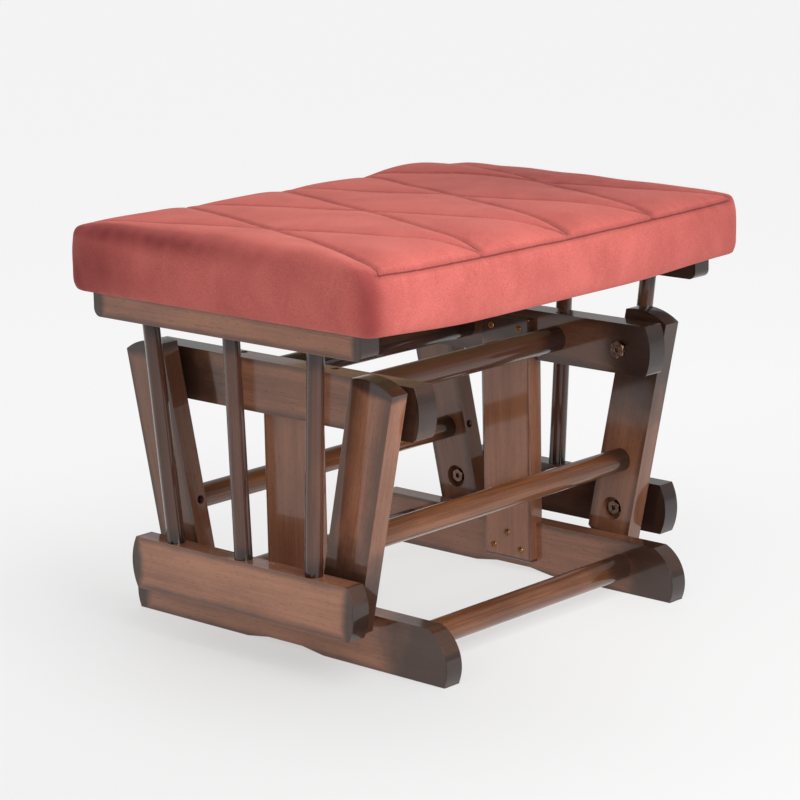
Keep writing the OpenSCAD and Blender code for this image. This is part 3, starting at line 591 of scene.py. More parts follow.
def make_metal(name, dark, light, rubbed, roughness):
    material, tree, shader = new_material(name, Metallic=1.0)
    worn = place_group(tree, handled_group, {"Place": own_place(tree),
                                             "Edge": written(tree, "rounded_edge")})
    colour = mix_colour(tree, worn["Blotch"], dark, light)
    colour = mix_colour(tree, worn["Rub"], colour, rubbed)
    lay_surface(tree, shader, colour, worn["Blotch"],
                roughness=(roughness - ROUGHNESS_SPREAD, roughness + ROUGHNESS_SPREAD),
                height=worn["Height"], strength=0.12, distance=0.2 * MM)
    return material


bronze, brass, steel, black_steel = (
    make_metal(name, srgb(*dark), srgb(*light), srgb(*rubbed), roughness)
    for name, dark, light, rubbed, roughness in (
        ("oiled_bronze", (84, 66, 60), (138, 114, 104), (214, 160, 126), 0.33),
        ("aged_brass", (104, 70, 42), (150, 106, 66), (196, 150, 100), 0.38),
        ("bearing_steel", (150, 140, 132), (196, 186, 176), (220, 214, 206), 0.3),
        ("blackened_steel", (40, 36, 34), (66, 60, 56), (120, 110, 100), 0.42)))
print("metals:", bronze.name, brass.name, steel.name, black_steel.name)

# %% [markdown]
# ## Bolts, screws and bearings
# The heads are small, but they are what the eye goes to inside the frame. They could be modelled
# again in more detail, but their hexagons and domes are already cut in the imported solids, so a
# fine rounding of every hard edge is all that they need to catch the light. The hidden sleeves,
# balls and inserts, and the small blackened screws, only get their metal.

# %% Dress the hardware
def hard_edges(shape, angle=25):
    return [edge for edge in shape.edges
            if len(edge.link_faces) == 2 and edge.calc_face_angle() > math.radians(angle)]


for node, body, material, slot, radius in (
        ("upper_pivot_bolts", "base", bronze, "dark_steel", 0.35 * MM),
        ("lower_pivot_bolts_rear", "rear_links", bronze, "dark_steel", 0.3 * MM),
        ("lower_pivot_bolts_front", "seat", bronze, "dark_steel", 0.3 * MM),
        ("post_screws", "base", brass, "dark_steel", 0.15 * MM),
        ("bearing_rings_front", "front_links", steel, "bright_steel", 0.15 * MM),
        ("bearing_rings_rear", "rear_links", steel, "bright_steel", 0.15 * MM)):
    shape = welded_copy(node)
    round_edges(shape, hard_edges(shape), radius, steps=2)
    finish_piece(shape, node + "_metal", body, material, [node])


def give_material(node, material):
    """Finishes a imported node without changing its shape."""
    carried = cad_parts[node]
    carried.data.materials.clear()
    carried.data.materials.append(material)
    return carried


for material, nodes in (
        (black_steel, ("stretcher_lock_screws", "link_screws_front", "link_screws_rear",
                       "seat_board_screws")),
        (steel, ("upper_pivot_sleeves", "lower_pivot_sleeves_front", "lower_pivot_sleeves_rear",
                 "bearing_balls_front", "bearing_balls_rear")),
        (brass, ("pivot_inserts",))):
    for node in nodes:
        carried = give_material(node, material)
        carried.data.shade_smooth()
        carried.modifiers.new("welded", "WELD").merge_threshold = WELD_GAP
        carried.modifiers.new("even shading", "WEIGHTED_NORMAL")
print("hardware dressed")

# %% [markdown]
# ## The board under the seat
# Thin birch plywood closes the seat frame. From below it shows a pale face, and at its edge the
# layers lie crosswise. Separate layers would be wasted work for an edge that sits in a rebate, so
# the face grain is stretched noise again, and the layers are bands of the place through the board.

# %% Plywood
TWO_LAYERS, FACE_LAYER_START, LAYER_DARK, LAYER_EDGE = 3.4 * MM, 5.6 * MM, 0.6, 0.2


def make_plywood():
    material, tree, shader = new_material("birch_plywood", Specular_IOR_Level=0.35)
    place = written(tree, "board_place", "Vector")
    grain = place_group(tree, grain_group, {"Place": place, "Seed": written(tree, "board_seed"),
                                            "Streaks": 0.8, "Pore Stretch": 0.1})
    face = mix_colour(tree, grain["Tone"], srgb(176, 142, 102), srgb(208, 178, 138))
    depth = add_node(tree, "SeparateXYZ", {0: place}).outputs[2]
    layers = calc(tree, "SINE", calc(tree, "MULTIPLY", depth, 2 * math.pi / TWO_LAYERS))
    side = calc(tree, "LESS_THAN", calc(tree, "ABSOLUTE", depth), FACE_LAYER_START)
    bands = calc(tree, "MULTIPLY", remap(tree, layers, -LAYER_EDGE, LAYER_EDGE), side)
    colour = mix_colour(tree, calc(tree, "MULTIPLY", bands, LAYER_DARK), face, srgb(120, 86, 58))
    lay_surface(tree, shader, colour, grain["Tone"], roughness=(0.72, 0.6),
                height=grain["Height"], strength=0.2, distance=0.5 * MM)
    return material


shape = welded_copy("seat_board")
round_edges(shape, hard_edges(shape, angle=60), 0.4 * MM, steps=2)
board = finish_piece(shape, "seat_board_plywood", "seat", make_plywood(), ["seat_board"])
lay_grain(board, (1, 0, 0), (0, 1, 0), glaze=(0, 0, 0), stain_and_shade_depth=0.0)
print("plywood board", [round(v, 3) for v in board.dimensions])

# %% [markdown]
# ## The shape of the cushion before it is stuffed
# A box cushion is a top panel, four sides and a bottom, sewn together. Here the front and rear
# seams are crisp, while the top runs over the left and right sides in one soft roll. It could be
# sculpted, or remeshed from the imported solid, but a grid of our own lets the rows of points follow
# the quilting: two families of slanted lines start at the same points on the front seam. No
# upholsterer sews them quite straight, so each line drifts a few millimetres near the seams.

# %% The cushion's measures and its sewn lines
cover_low, cover_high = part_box("cushion_cover")
HALF_WIDTH = (cover_high.x - cover_low.x) / 2
HALF_DEPTH = (cover_high.y - cover_low.y) / 2
MIDDLE_Y = (cover_high.y + cover_low.y) / 2
FOOT_Z, SEAM_Z = cover_low.z, cover_low.z + 52 * MM
CORNER_R, SEAM_DRAW, FOOT_DRAW = 19 * MM, 5 * MM, 3 * MM
SEAM_HALF_X, SEAM_HALF_Y = HALF_WIDTH - SEAM_DRAW, HALF_DEPTH - SEAM_DRAW
QUILT_PITCH, QUILT_SHIFT = 125 * MM, 2.2 * MM
QUILT_SLOPE = QUILT_PITCH / (2 * SEAM_HALF_Y)
LINE_LEAN = math.cos(math.atan(QUILT_SLOPE))
FRONT_DRIFT = {-1: 10 * MM, 0: 6 * MM, 1: 5 * MM, 2: 4 * MM}
REAR_DRIFT, DRIFT_REACH = -8 * MM, 60 * MM
quilt_starts = [(k, 1) for k in range(-2, 2)] + [(k, -1) for k in range(-1, 3)]


def quilt_x(start, way, y):
    """Where a sewn line runs at a depth y. It drifts a little right near the front seam and left
    near the rear one."""
    drift = (FRONT_DRIFT.get(start, 0.0) * np.exp(-((y + SEAM_HALF_Y) / DRIFT_REACH) ** 2)
             + REAR_DRIFT * np.exp(-((y - SEAM_HALF_Y) / DRIFT_REACH / 2) ** 2))
    return QUILT_SHIFT + start * QUILT_PITCH + way * QUILT_SLOPE * (y + SEAM_HALF_Y) + drift


def line_distance(x, y):
    """How far a place on the top is from the nearest sewn line, for numbers or arrays."""
    return np.min([np.abs(x - quilt_x(start, way, y)) * LINE_LEAN for start, way in quilt_starts],
                  axis=0)


print("sewn lines:", len(quilt_starts))

# %% [markdown]
# ## How the top rises
# Seen from the front, the top is a low crown between the seams. The sewn lines rise slowly from the
# front seam and quickly from the rear one, the pillows between them rise quickly from both, and the
# right rear pillow is the fullest. At the left and right the top ends in a tight roll, lowest
# towards the rear left. A sculpt could give the same swellings, but as a few named measures they
# can each be set against a picture and changed alone.

# %% Height of the top
ROLL_R = 7.5 * MM
ROLL_REACH = ROLL_R - SEAM_DRAW
CROWN, CROWN_TILT, FALL_LEFT, FALL_RIGHT = 12 * MM, 2.4 * MM, 1.5 * MM, 5.5 * MM
FULLEST, FULLEST_X, FULLEST_HALF = 7 * MM, 178 * MM, 45 * MM
FULLEST_FROM_Y, FULLEST_OVER_Y = -60 * MM, 170 * MM
LINE_STEP, STEP_REACH, LINE_REACH, REAR_REACH = 4 * MM, 9 * MM, 125 * MM, 36 * MM
PILLOW, PILLOW_WIDTH, PILLOW_REACH = 2.5 * MM, 13 * MM, 42 * MM
EDGE_DROP, EDGE_DROP_REAR, EDGE_DROP_OVER_Y, EDGE_REACH = 1 * MM, 3.5 * MM, 170 * MM, 18 * MM
SEAM_DIP, DIP_REACH, CORNER_LIFT, LIFT_REACH = 3.2 * MM, 30 * MM, 1.8 * MM, 36 * MM


def rolled(share):
    """A quarter of an ellipse, from 0 at the edge to 1 where the roll has ended."""
    return math.sqrt(1 - (1 - min(1.0, max(0.0, share))) ** 2)


def ramp(value, start, length):
    """From 0 at the start to 1 after the length, with a soft beginning and a soft end."""
    share = min(1.0, max(0.0, (value - start) / length))
    return (3 - 2 * share) * share ** 2


def seam_dip(x):
    """How far the seams hang below their ends, deepest in the middle; the left corners stand up."""
    lift = CORNER_LIFT * np.exp(-((x + SEAM_HALF_X) / LIFT_REACH) ** 2)
    return SEAM_DIP * (1 - (x / SEAM_HALF_X) ** 2) - lift


def top_rise(x, y):
    """Height of the stretched top above its seam."""
    from_side, from_seam = SEAM_HALF_X - abs(x), SEAM_HALF_Y - abs(y)
    share = x / SEAM_HALF_X
    crown = CROWN - CROWN_TILT * share - (FALL_LEFT if x < 0 else FALL_RIGHT) * share ** 2
    crown += (FULLEST * math.exp(-((x - FULLEST_X) / FULLEST_HALF) ** 2)
              * ramp(y, FULLEST_FROM_Y, FULLEST_OVER_Y))
    if y < 0:
        slow = math.sin(min(1.0, from_seam / LINE_REACH) * math.pi / 2)
        line_level = LINE_STEP * rolled(from_seam / STEP_REACH) + (crown - LINE_STEP) * slow
    else:
        line_level = crown * rolled(from_seam / REAR_REACH)
    pillow_level = (crown + PILLOW) * rolled(from_seam / PILLOW_REACH)
    fullness = 1 - math.exp(-(float(line_distance(x, y)) / PILLOW_WIDTH) ** 2)
    level = line_level + (pillow_level - line_level) * fullness
    roll = ROLL_R - math.sqrt(ROLL_R ** 2 - max(0.0, ROLL_REACH - from_side) ** 2)
    if x < 0:
        drop = EDGE_DROP + (EDGE_DROP_REAR - EDGE_DROP) * ramp(y, 0.0, EDGE_DROP_OVER_Y)
        roll += drop * (1 - rolled(from_side / EDGE_REACH))
    level -= roll * rolled(from_seam / PILLOW_REACH)
    return level - seam_dip(x) * math.exp(-(from_seam / DIP_REACH) ** 2)


print("top rises by", round(top_rise(0.0, 0.0) / MM, 1), "mm in the middle")

# %% [markdown]
# ## How the sides hang
# Fabric sides are never upright planes: they pull in towards the sewn seams and a little at the
# foot, and at the left and right they carry on the roll of the top. The simulation that stuffs the
# cushion could shape them alone, but it would bulge them evenly, so a few measures set their form
# first. The cushion reaches past the board that carries it, so its front hangs a little lower,
# least of all at the corners.

# %% Outline, sides and the hanging front
SEAM_SHARE, FOOT_SHARE = 0.3, 0.15
FOOT_SAG, OVERHANG, OVERHANG_EASE = 7 * MM, 26 * MM, 16 * MM
SAG_LEFT, SAG_LEFT_EASE = -290 * MM, 170 * MM
SAG_RIGHT, SAG_RIGHT_EASE, SAG_RIGHT_LOSS = 80 * MM, 180 * MM, 0.75


def plan_point(x_share, y_share, draw):
    """A grid point on the rounded rectangle of the cushion, drawn in from its widest outline."""
    half = np.array([HALF_WIDTH - draw, HALF_DEPTH - draw])
    corner = CORNER_R - draw
    point = np.array([x_share, y_share]) * half
    over = np.abs(point) - half + corner
    if over.min() > 0:
        over = over * over.max() / np.hypot(*over)
        point = np.sign(point) * (half - corner + over)
    return point


def side_drawn_in(z, rim_z, on_side):
    """How far a side is drawn in at a height; on_side is 0 in front and behind, 1 at the sides."""
    from_foot = (z - FOOT_Z) / (SEAM_Z - FOOT_Z)
    seam = SEAM_DRAW * max(0.0, 1 - (1 - from_foot) / SEAM_SHARE) ** 2
    above = max(0.0, z - rim_z + math.sqrt(ROLL_R ** 2 - ROLL_REACH ** 2))
    roll = ROLL_R - math.sqrt(max(0.0, ROLL_R ** 2 - above ** 2))
    foot = FOOT_DRAW * max(0.0, 1 - from_foot / FOOT_SHARE) ** 2
    return seam * (1 - on_side) + roll * on_side + foot


def foot_sag(x, y):
    """How far the front overhang hangs below the foot of the cushion."""
    along = min(ramp(x, SAG_LEFT, SAG_LEFT_EASE),
                1 - SAG_RIGHT_LOSS * ramp(x, SAG_RIGHT, SAG_RIGHT_EASE))
    return FOOT_SAG * ramp(-y, HALF_DEPTH - OVERHANG, OVERHANG_EASE) * along


print("front hangs by up to", round(foot_sag(0.0, -HALF_DEPTH) / MM, 1), "mm")

# %% [markdown]
# ## One closed grid
# Sewn lines could be cut into a finished mesh, but that leaves slivers along every cut. Here the
# rows and columns of the top are spaced so that a quilting line crosses one column in every three
# rows. Wherever a line passes between two columns the nearest point is moved onto it, so that
# every sewn line is an unbroken chain of edges. The sides are rings of points below the rim of the
# top, and the bottom repeats the grid, so the cushion is one closed skin with no seams to stitch.

# %% Columns and rows, and the points on each sewn line
COLUMNS_PER_PITCH, ROWS_PER_COLUMN, SIDE_RINGS, RING_CURVE = 24, 3, 10, 1.25
EDGE_ROOM, LINE_END_ROOM = 0.4, 4 * MM
COLUMN = QUILT_PITCH / COLUMNS_PER_PITCH
ROW = COLUMN / QUILT_SLOPE / ROWS_PER_COLUMN
first_column = math.ceil((-SEAM_HALF_X - QUILT_SHIFT) / COLUMN + EDGE_ROOM)
last_column = math.floor((SEAM_HALF_X - QUILT_SHIFT) / COLUMN - EDGE_ROOM)
inner_columns = [QUILT_SHIFT + k * COLUMN for k in range(first_column, last_column + 1)]
column_x = np.array([-SEAM_HALF_X, *inner_columns, SEAM_HALF_X])
row_count = round(2 * SEAM_HALF_Y / ROW)
row_y = np.array([-SEAM_HALF_Y + k * ROW for k in range(row_count)] + [SEAM_HALF_Y])
last_i, last_j = len(column_x) - 1, len(row_y) - 1

moved_to_line, line_points = {}, []
for start, way in quilt_starts:
    chain = []
    for j, y in enumerate(row_y):
        x = quilt_x(start, way, y)
        if abs(x) > SEAM_HALF_X - LINE_END_ROOM:
            break
        i = int(np.argmin(np.abs(column_x - x)))
        moved_to_line.setdefault((i, j), []).append(x)
        chain.append((i, j))
    line_points.append(chain)
print("cushion grid", len(column_x), "x", len(row_y))

# %% Points of the top, the sides and the bottom
edge_walk = ([(i, 0) for i in range(last_i)] + [(last_i, j) for j in range(last_j)]
             + [(i, last_j) for i in range(last_i, 0, -1)] + [(0, j) for j in range(last_j, 0, -1)])
grid = [(i, j) for i in range(last_i + 1) for j in range(last_j + 1)]
points, point_at = [], {}


def add_point(level, i, j, x, y, z):
    point_at[level, i, j] = len(points)
    points.append((x, y, z))


for i, j in grid:
    x_moved = np.mean(moved_to_line.get((i, j), [column_x[i]]))
    x, y = plan_point(x_moved / SEAM_HALF_X, row_y[j] / SEAM_HALF_Y, SEAM_DRAW)
    add_point("top", i, j, x, y, SEAM_Z + top_rise(x, y))
for ring in range(1, SIDE_RINGS + 1):
    share = (ring / SIDE_RINGS) ** RING_CURVE
    for i, j in edge_walk:
        rim = points[point_at["top", i, j]]
        over_x, over_y = (max(0.0, abs(rim[axis]) - half + CORNER_R - SEAM_DRAW)
                          for axis, half in ((0, SEAM_HALF_X), (1, SEAM_HALF_Y)))
        on_side = over_x ** 2 / max(over_x ** 2 + over_y ** 2, 1e-12)
        z = rim[2] + (FOOT_Z - rim[2]) * share
        x, y = plan_point(column_x[i] / SEAM_HALF_X, row_y[j] / SEAM_HALF_Y,
                          side_drawn_in(z, rim[2], on_side))
        add_point(ring, i, j, x, y, z - foot_sag(x, y) * share ** 2)
on_edge = set(edge_walk)
for i, j in grid:
    if (i, j) in on_edge:
        point_at["bottom", i, j] = point_at[SIDE_RINGS, i, j]
    else:
        x, y = plan_point(column_x[i] / SEAM_HALF_X, row_y[j] / SEAM_HALF_Y, FOOT_DRAW)
        add_point("bottom", i, j, x, y, FOOT_Z - foot_sag(x, y))
points = np.array(points) + (0, MIDDLE_Y, 0)
print("cushion points:", len(points))

# %% Join the grid into faces and remember the sewn edges
SEAM_END_ROOM = 9 * MM
chain_steps = {frozenset(step) for chain in line_points for step in zip(chain, chain[1:])}
faces = []
for i in range(last_i):
    for j in range(last_j):
        quad = [(i, j), (i + 1, j), (i + 1, j + 1), (i, j + 1)]
        top = [point_at["top", *p] for p in quad]
        if frozenset((quad[0], quad[2])) in chain_steps:
            faces += [(top[0], top[1], top[2]), (top[0], top[2], top[3])]
        elif frozenset((quad[1], quad[3])) in chain_steps:
            faces += [(top[0], top[1], top[3]), (top[1], top[2], top[3])]
        else:
            faces.append(tuple(top))
        faces.append(tuple(point_at["bottom", *p] for p in reversed(quad)))
for ring in range(SIDE_RINGS):
    upper = "top" if ring == 0 else ring
    for this, following in zip(edge_walk, edge_walk[1:] + edge_walk[:1]):
        faces.append((point_at[upper, *this], point_at[ring + 1, *this],
                      point_at[ring + 1, *following], point_at[upper, *following]))

seam_walk = [[(i, j) for i, x in enumerate(column_x) if abs(x) < SEAM_HALF_X - SEAM_END_ROOM]
             for j in (0, last_j)]
sewn_ids = {point_at["top", *p] for chain in line_points + seam_walk for p in chain}
sewn_edges = {frozenset((point_at["top", *a], point_at["top", *b]))
              for chain in line_points + seam_walk for a, b in zip(chain, chain[1:])}
cover_mesh = bpy.data.meshes.new("cushion")
cover_mesh.from_pydata(points.tolist(), [], faces)
cushion = put_in_scene("cushion", cover_mesh)
print("cushion faces:", len(faces), "sewn edges:", len(sewn_edges))

# %% [markdown]
# ## Stuffing it
# Fabric that is held down along lines and filled from below swells between them, and a cloth
# simulation does exactly that. Pressure plays the foam, gravity is off because the foam carries the
# fabric, and every sewn line, the two seams and the flat bottom are pinned. The movement is capped
# softly at a few millimetres, so that the cushion keeps the size of the imported one.

# %% Stuff the cushion with a cloth simulation
STUFFING_CAP, STUFFING_STEPS, BOTTOM_ROOM = 3.5 * MM, 20, 2 * MM


def as_modified(piece):
    """The piece as its modifiers leave it."""
    return piece.evaluated_get(bpy.context.evaluated_depsgraph_get())


def move_points(mesh, places):
    mesh.vertices.foreach_set("co", np.ascontiguousarray(places, np.float32).ravel())
    mesh.update()


bottom_ids = [k for k, p in enumerate(points) if p[2] < FOOT_Z + BOTTOM_ROOM]
cushion.vertex_groups.new(name="pinned").add(sorted(sewn_ids) + bottom_ids, 1.0, "REPLACE")

stuffing = cushion.modifiers.new("stuffing", "CLOTH")
cloth = stuffing.settings
cloth.quality, cloth.mass = 5, 0.3
cloth.tension_stiffness = cloth.compression_stiffness = 12
cloth.shear_stiffness, cloth.bending_stiffness = 4, 1.2
cloth.use_pressure, cloth.uniform_pressure_force = True, 4
cloth.effector_weights.gravity = 0
cloth.vertex_group_mass, cloth.pin_stiffness = "pinned", 1
stuffing.collision_settings.use_collision = False
stuffing.point_cache.frame_start, stuffing.point_cache.frame_end = 1, STUFFING_STEPS
for step in range(1, STUFFING_STEPS + 1):
    bpy.context.scene.frame_set(step)
move = read_vectors(as_modified(cushion).to_mesh().vertices, "co") - points
cushion.modifiers.remove(stuffing)
bpy.context.scene.frame_set(1)
size = np.linalg.norm(move, axis=1, keepdims=True)
print("stuffing moved points by up to", round(float(size.max()) / MM, 1), "mm, half of them by",
      round(float(np.median(size)) / MM, 1), "mm")
move *= np.tanh(size / STUFFING_CAP) * STUFFING_CAP / np.maximum(size, 1e-9)
move_points(cover_mesh, points + move)

# %% [markdown]
# ## Seams, channels and puckers
# A needle pulls the cover down in a narrow valley, and the cloth beside it gathers in small folds
# that run across the seam. These are finer than the simulated grid, so the mesh is subdivided once
# with its sewn edges creased, and then each point is pushed by a few rules: how far is it from the
# nearest sewn line, from the seam, and from the foot of the cushion?

# %% Subdivide with creased seams
SEWN_CREASE = 0.75
crease = cover_mesh.attributes.new("crease_edge", "FLOAT", "EDGE")
crease.data.foreach_set("value", [SEWN_CREASE if frozenset(edge.vertices) in sewn_edges else 0.0
                                  for edge in cover_mesh.edges])
finer = cushion.modifiers.new("finer", "SUBSURF")
finer.levels = finer.render_levels = 1
fine_mesh = bpy.data.meshes.new_from_object(as_modified(cushion))
cushion.modifiers.clear()
cushion.data = fine_mesh
fine_mesh.name = "cushion"
print("cushion after subdivision:", len(fine_mesh.vertices), "points")

# %% Measure every point from the lines, the seams and the foot
WAVES, OCTAVES, WAVE_EVENING = 10, 2, 1.2


def noise_over(places, scale, seed):
    """Smooth noise between about -1 and 1 at many places at once, from sums of slanted waves."""
    spread = np.random.default_rng(seed)
    total = np.zeros(len(places))
    for wave in range(WAVES * OCTAVES):
        way = spread.normal(size=3)
        stretch = scale * (1 + wave // WAVES) / np.linalg.norm(way)
        total += np.sin(places @ way * stretch * 2 * math.pi + spread.uniform(0, 2 * math.pi))
    return total / math.sqrt(WAVES * OCTAVES) / WAVE_EVENING


def near(distance, reach):
    """1 on a line, falling to nothing beyond the reach."""
    return np.exp(-(distance / reach) ** 2)


FAR_AWAY, SEAM_END, SEAM_LAST, SEAM_FADE_OVER = 1.0, 6 * MM, 8 * MM, 16 * MM
UPWARD_FROM, UPWARD_OVER, TOP_FROM_Z = 0.25, 0.3, SEAM_Z - 1 * MM
places = read_vectors(fine_mesh.vertices, "co")
normals = read_vectors(fine_mesh.vertex_normals, "vector")
x, y, z = places[:, 0], places[:, 1] - MIDDLE_Y, places[:, 2]
upward = np.clip((normals[:, 2] - UPWARD_FROM) / UPWARD_OVER, 0, 1) * (z > TOP_FROM_Z)
line_gap = np.where(upward > 0, line_distance(x, y), FAR_AWAY)
seam_gap = np.hypot(z - SEAM_Z + seam_dip(x), np.abs(y) - SEAM_HALF_Y)
seam_gap[np.abs(x) > SEAM_HALF_X - SEAM_LAST] = FAR_AWAY
seam_fade = np.clip((SEAM_HALF_X - SEAM_END - np.abs(x)) / SEAM_FADE_OVER, 0, 1)
foot_gap = z - FOOT_Z
print("points on top:", int((upward > 0).sum()))

# %% Push in the channels, seams, puckers and tucks
CHANNEL_DEPTH, CHANNEL_WIDTH, VALLEY_DEPTH, VALLEY_WIDTH = 1.9, 2.6 * MM, 2.1, 2.2 * MM
PUCKERS, PUCKER_WIDTH, GATHERS, GATHER_WIDTH = 0.16, 8 * MM, 0.5, 12 * MM
TUCKS, TUCK_HEIGHT, TUCKS_FROM, SLACK, SLACK_FROM = 0.4, 9 * MM, 1 * MM, 0.45, 3 * MM
GAP_CAP = 30 * MM
channel = near(line_gap, CHANNEL_WIDTH) * upward
seam_valley = near(seam_gap, VALLEY_WIDTH) * seam_fade
gathers = (near(seam_gap, GATHER_WIDTH) * seam_fade
           * noise_over(places * (1, 0.25, 0.2), scale=95, seed=3))
puckers = (near(line_gap, PUCKER_WIDTH) * upward
           * noise_over(places * (0.35, 1, 0), scale=75, seed=5))
tucks = (np.exp(-np.maximum(foot_gap, 0) / TUCK_HEIGHT) * (foot_gap > TUCKS_FROM)
         * noise_over(places * (1, 1, 0.15), scale=60, seed=8))
slack = noise_over(places, scale=9, seed=12) * (foot_gap > SLACK_FROM)
push = MM * (PUCKERS * puckers + GATHERS * gathers + TUCKS * tucks + SLACK * slack
             - CHANNEL_DEPTH * channel - VALLEY_DEPTH * seam_valley)
places = places + normals * push[:, None]
move_points(fine_mesh, places)
fine_mesh.shade_smooth()

seam_gap[seam_fade <= 0] = FAR_AWAY
write_on_points(fine_mesh, "sewn_gap", np.minimum(np.minimum(line_gap, seam_gap), GAP_CAP))
print("channel depth up to", round(float(-push.min()) / MM, 1), "mm")

# %% [markdown]
# ## Painted shade, and pile brushed down
# Velvet turns darker where its pile is brushed down, and the same spots paint in the shade where
# the light falls off: in a long band under the upper left edge, at the left corners, in a wide
# patch over the right part of the top, and faintly at the right end of the front. A painted mask
# would need unwrapping, so each spot is a soft ellipsoid in space, with its middle, its reach and
# its strength. The spots of the left side count only where the surface faces left, so that they
# end cleanly at the roll.

# %% Darken the pile in a few places: painted shade and brushed pile
LEFT_SIDE_SPOTS = [((-0.271, 0.10, 0.394), (0.02, 0.19, 0.013), 0.85),
                   ((-0.27, 0.16, 0.355), (0.03, 0.07, 0.04), 0.7),
                   ((-0.27, 0.06, 0.36), (0.03, 0.03, 0.025), 0.2),
                   ((-0.27, -0.03, 0.35), (0.03, 0.02, 0.03), 0.16)]
OTHER_SPOTS = [((-0.262, 0.185, 0.375), (0.02, 0.03, 0.04), 0.5),
               ((-0.262, -0.203, 0.36), (0.014, 0.014, 0.06), 0.7),
               ((0.22, 0.0, 0.40), (0.15, 0.17, 0.04), 0.6),
               ((0.26, -0.2, 0.36), (0.12, 0.03, 0.05), 0.3)]
LEFTWARD_FROM, LEFTWARD_OVER, SHADE_AND_BRUSH_UNEVEN = 0.2, 0.2, 0.10
leftward = -read_vectors(fine_mesh.vertex_normals, "vector")[:, 0]
facing_left = np.clip((leftward - LEFTWARD_FROM) / LEFTWARD_OVER, 0, 1)
# Painted shade where the light falls off, together with pile brushed down, in soft spots.
brushed = np.zeros(len(places))
for spots, counted in ((LEFT_SIDE_SPOTS, facing_left), (OTHER_SPOTS, 1.0)):
    for middle, reach, strength in spots:
        away = (places - np.array(middle)) / np.array(reach)
        brushed = np.maximum(brushed, strength * np.exp(-(away ** 2).sum(1)) * counted)
brushed *= 1 + SHADE_AND_BRUSH_UNEVEN * noise_over(places, scale=30, seed=21)
write_on_points(fine_mesh, "painted_shade_and_brushed_pile", brushed)
print("spots brushed dark:", len(LEFT_SIDE_SPOTS) + len(OTHER_SPOTS))

# %% [markdown]
# ## Velvet
# The pile of velvet stands up, so it scatters light towards the rim of every curve, and the nap
# shifts from lighter to darker all over. The sheen of the Principled shader gives the rim. The nap
# is noise of two sizes, soft clouds and a grain of a millimetre or so, drawn out a little because
# the pile lies in stripes. A Layer Weight paints sheen into the colour too: it deepens the colour
# where we look straight into the pile and warms it towards the rim, which is how velvet differs
# from felt. The sewn lines are darker twice, both painted shade: softly across the channel where
# the cloth dives in, and sharply in the crease of the needle's own line. The fuzz itself is far too
# fine to model, so it is a small Bump.

# %% Node group: nap of pile and foam
GRAIN_RATIO, GRAIN_SHARE, FUZZ_DETAIL = 50.0, 0.6, 2.0


def make_nap_group():
    tree, given, result = new_group("brushed nap", [
        ("Place", "Vector", None), ("Cloud Scale", "Float", 20.0),
        ("Fuzz Scale", "Float", 2200.0)], [("Clouds", "Float", None), ("Fuzz", "Float", None)])
    wide = noise(tree, given["Place"], given["Cloud Scale"], 3.0, Roughness=0.55, Distortion=0.4)
    grain_scale = calc(tree, "MULTIPLY", given["Cloud Scale"], GRAIN_RATIO)
    grain = noise(tree, given["Place"], grain_scale, 2.0, Roughness=0.7)
    both = blended(tree, wide, grain, GRAIN_SHARE)
    tree.links.new(remap(tree, both, 0.3, 0.7), result["Clouds"])
    tree.links.new(noise(tree, given["Place"], given["Fuzz Scale"], FUZZ_DETAIL), result["Fuzz"])
    return tree


nap_group = make_nap_group()
print("group:", nap_group.name)

# %% The velvet, and the finished cushion
DEEP_ROSE, LIT_ROSE, PAINTED_SHEEN_ROSE = srgb(129, 57, 54), srgb(187, 99, 92), srgb(226, 118, 108)
SHADE_AND_BRUSHED_ROSE, SEAM_SHADE_ROSE, SHEEN_ROSE = srgb(104, 38, 40), srgb(70, 20, 23), srgb(255, 170, 158)
NAP_STRETCH = (1.0, 0.9, 0.7)


def make_velvet():
    material, tree, shader = new_material(
        "velvet", Sheen_Weight=0.26, Sheen_Roughness=0.38, Sheen_Tint=SHEEN_ROSE,
        Specular_IOR_Level=0.15)
    stretched = vector_calc(tree, "MULTIPLY", own_place(tree), NAP_STRETCH)
    nap = place_group(tree, nap_group, {"Place": stretched, "Cloud Scale": 22.0,
                                        "Fuzz Scale": 1900.0})
    facing = add_node(tree, "LayerWeight", {"Blend": 0.5}).outputs["Facing"]
    gap = written(tree, "sewn_gap")
    pile = mix_colour(tree, remap(tree, nap["Clouds"], 0, 1, 0.3, 0.85), DEEP_ROSE, LIT_ROSE)
    # Painted sheen: the colour deepens where the pile faces us and warms towards the rim.
    for share, colour in ((remap(tree, facing, 0.0, 0.3, 0.6, 0.0), DEEP_ROSE),
                          (calc(tree, "MULTIPLY", facing, 0.3), PAINTED_SHEEN_ROSE),
                          # Painted shade, and pile brushed down, in the spots written above.
                          (written(tree, "painted_shade_and_brushed_pile"), SHADE_AND_BRUSHED_ROSE),
                          # Painted shade along the sewn lines: soft across the channel, sharp in the
                          # crease.
                          (remap(tree, gap, 0.0, 6 * MM, 0.32, 0.0), SEAM_SHADE_ROSE),
                          (remap(tree, gap, 0.3 * MM, 1.3 * MM, 0.7, 0.0), SEAM_SHADE_ROSE)):
        pile = mix_colour(tree, share, pile, colour)
    lay_surface(tree, shader, pile, nap["Clouds"], roughness=(0.92, 0.78), height=nap["Fuzz"],
                strength=0.35, distance=0.6 * MM)
    return material


fine_mesh.materials.append(make_velvet())
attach(cushion, "seat")
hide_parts("cushion_cover")
print("velvet cushion", [round(v, 3) for v in cushion.dimensions])

# %% [markdown]
# ## The thread
# Each channel is held by a row of stitches about 3 mm long. Painting them would be enough from a
# few steps away, but close up they should stand in relief. One capsule is built for every stitch,
# laid on the velvet by a ray from above, and all of them form one mesh, because hundreds of single
# objects would be slow to handle.

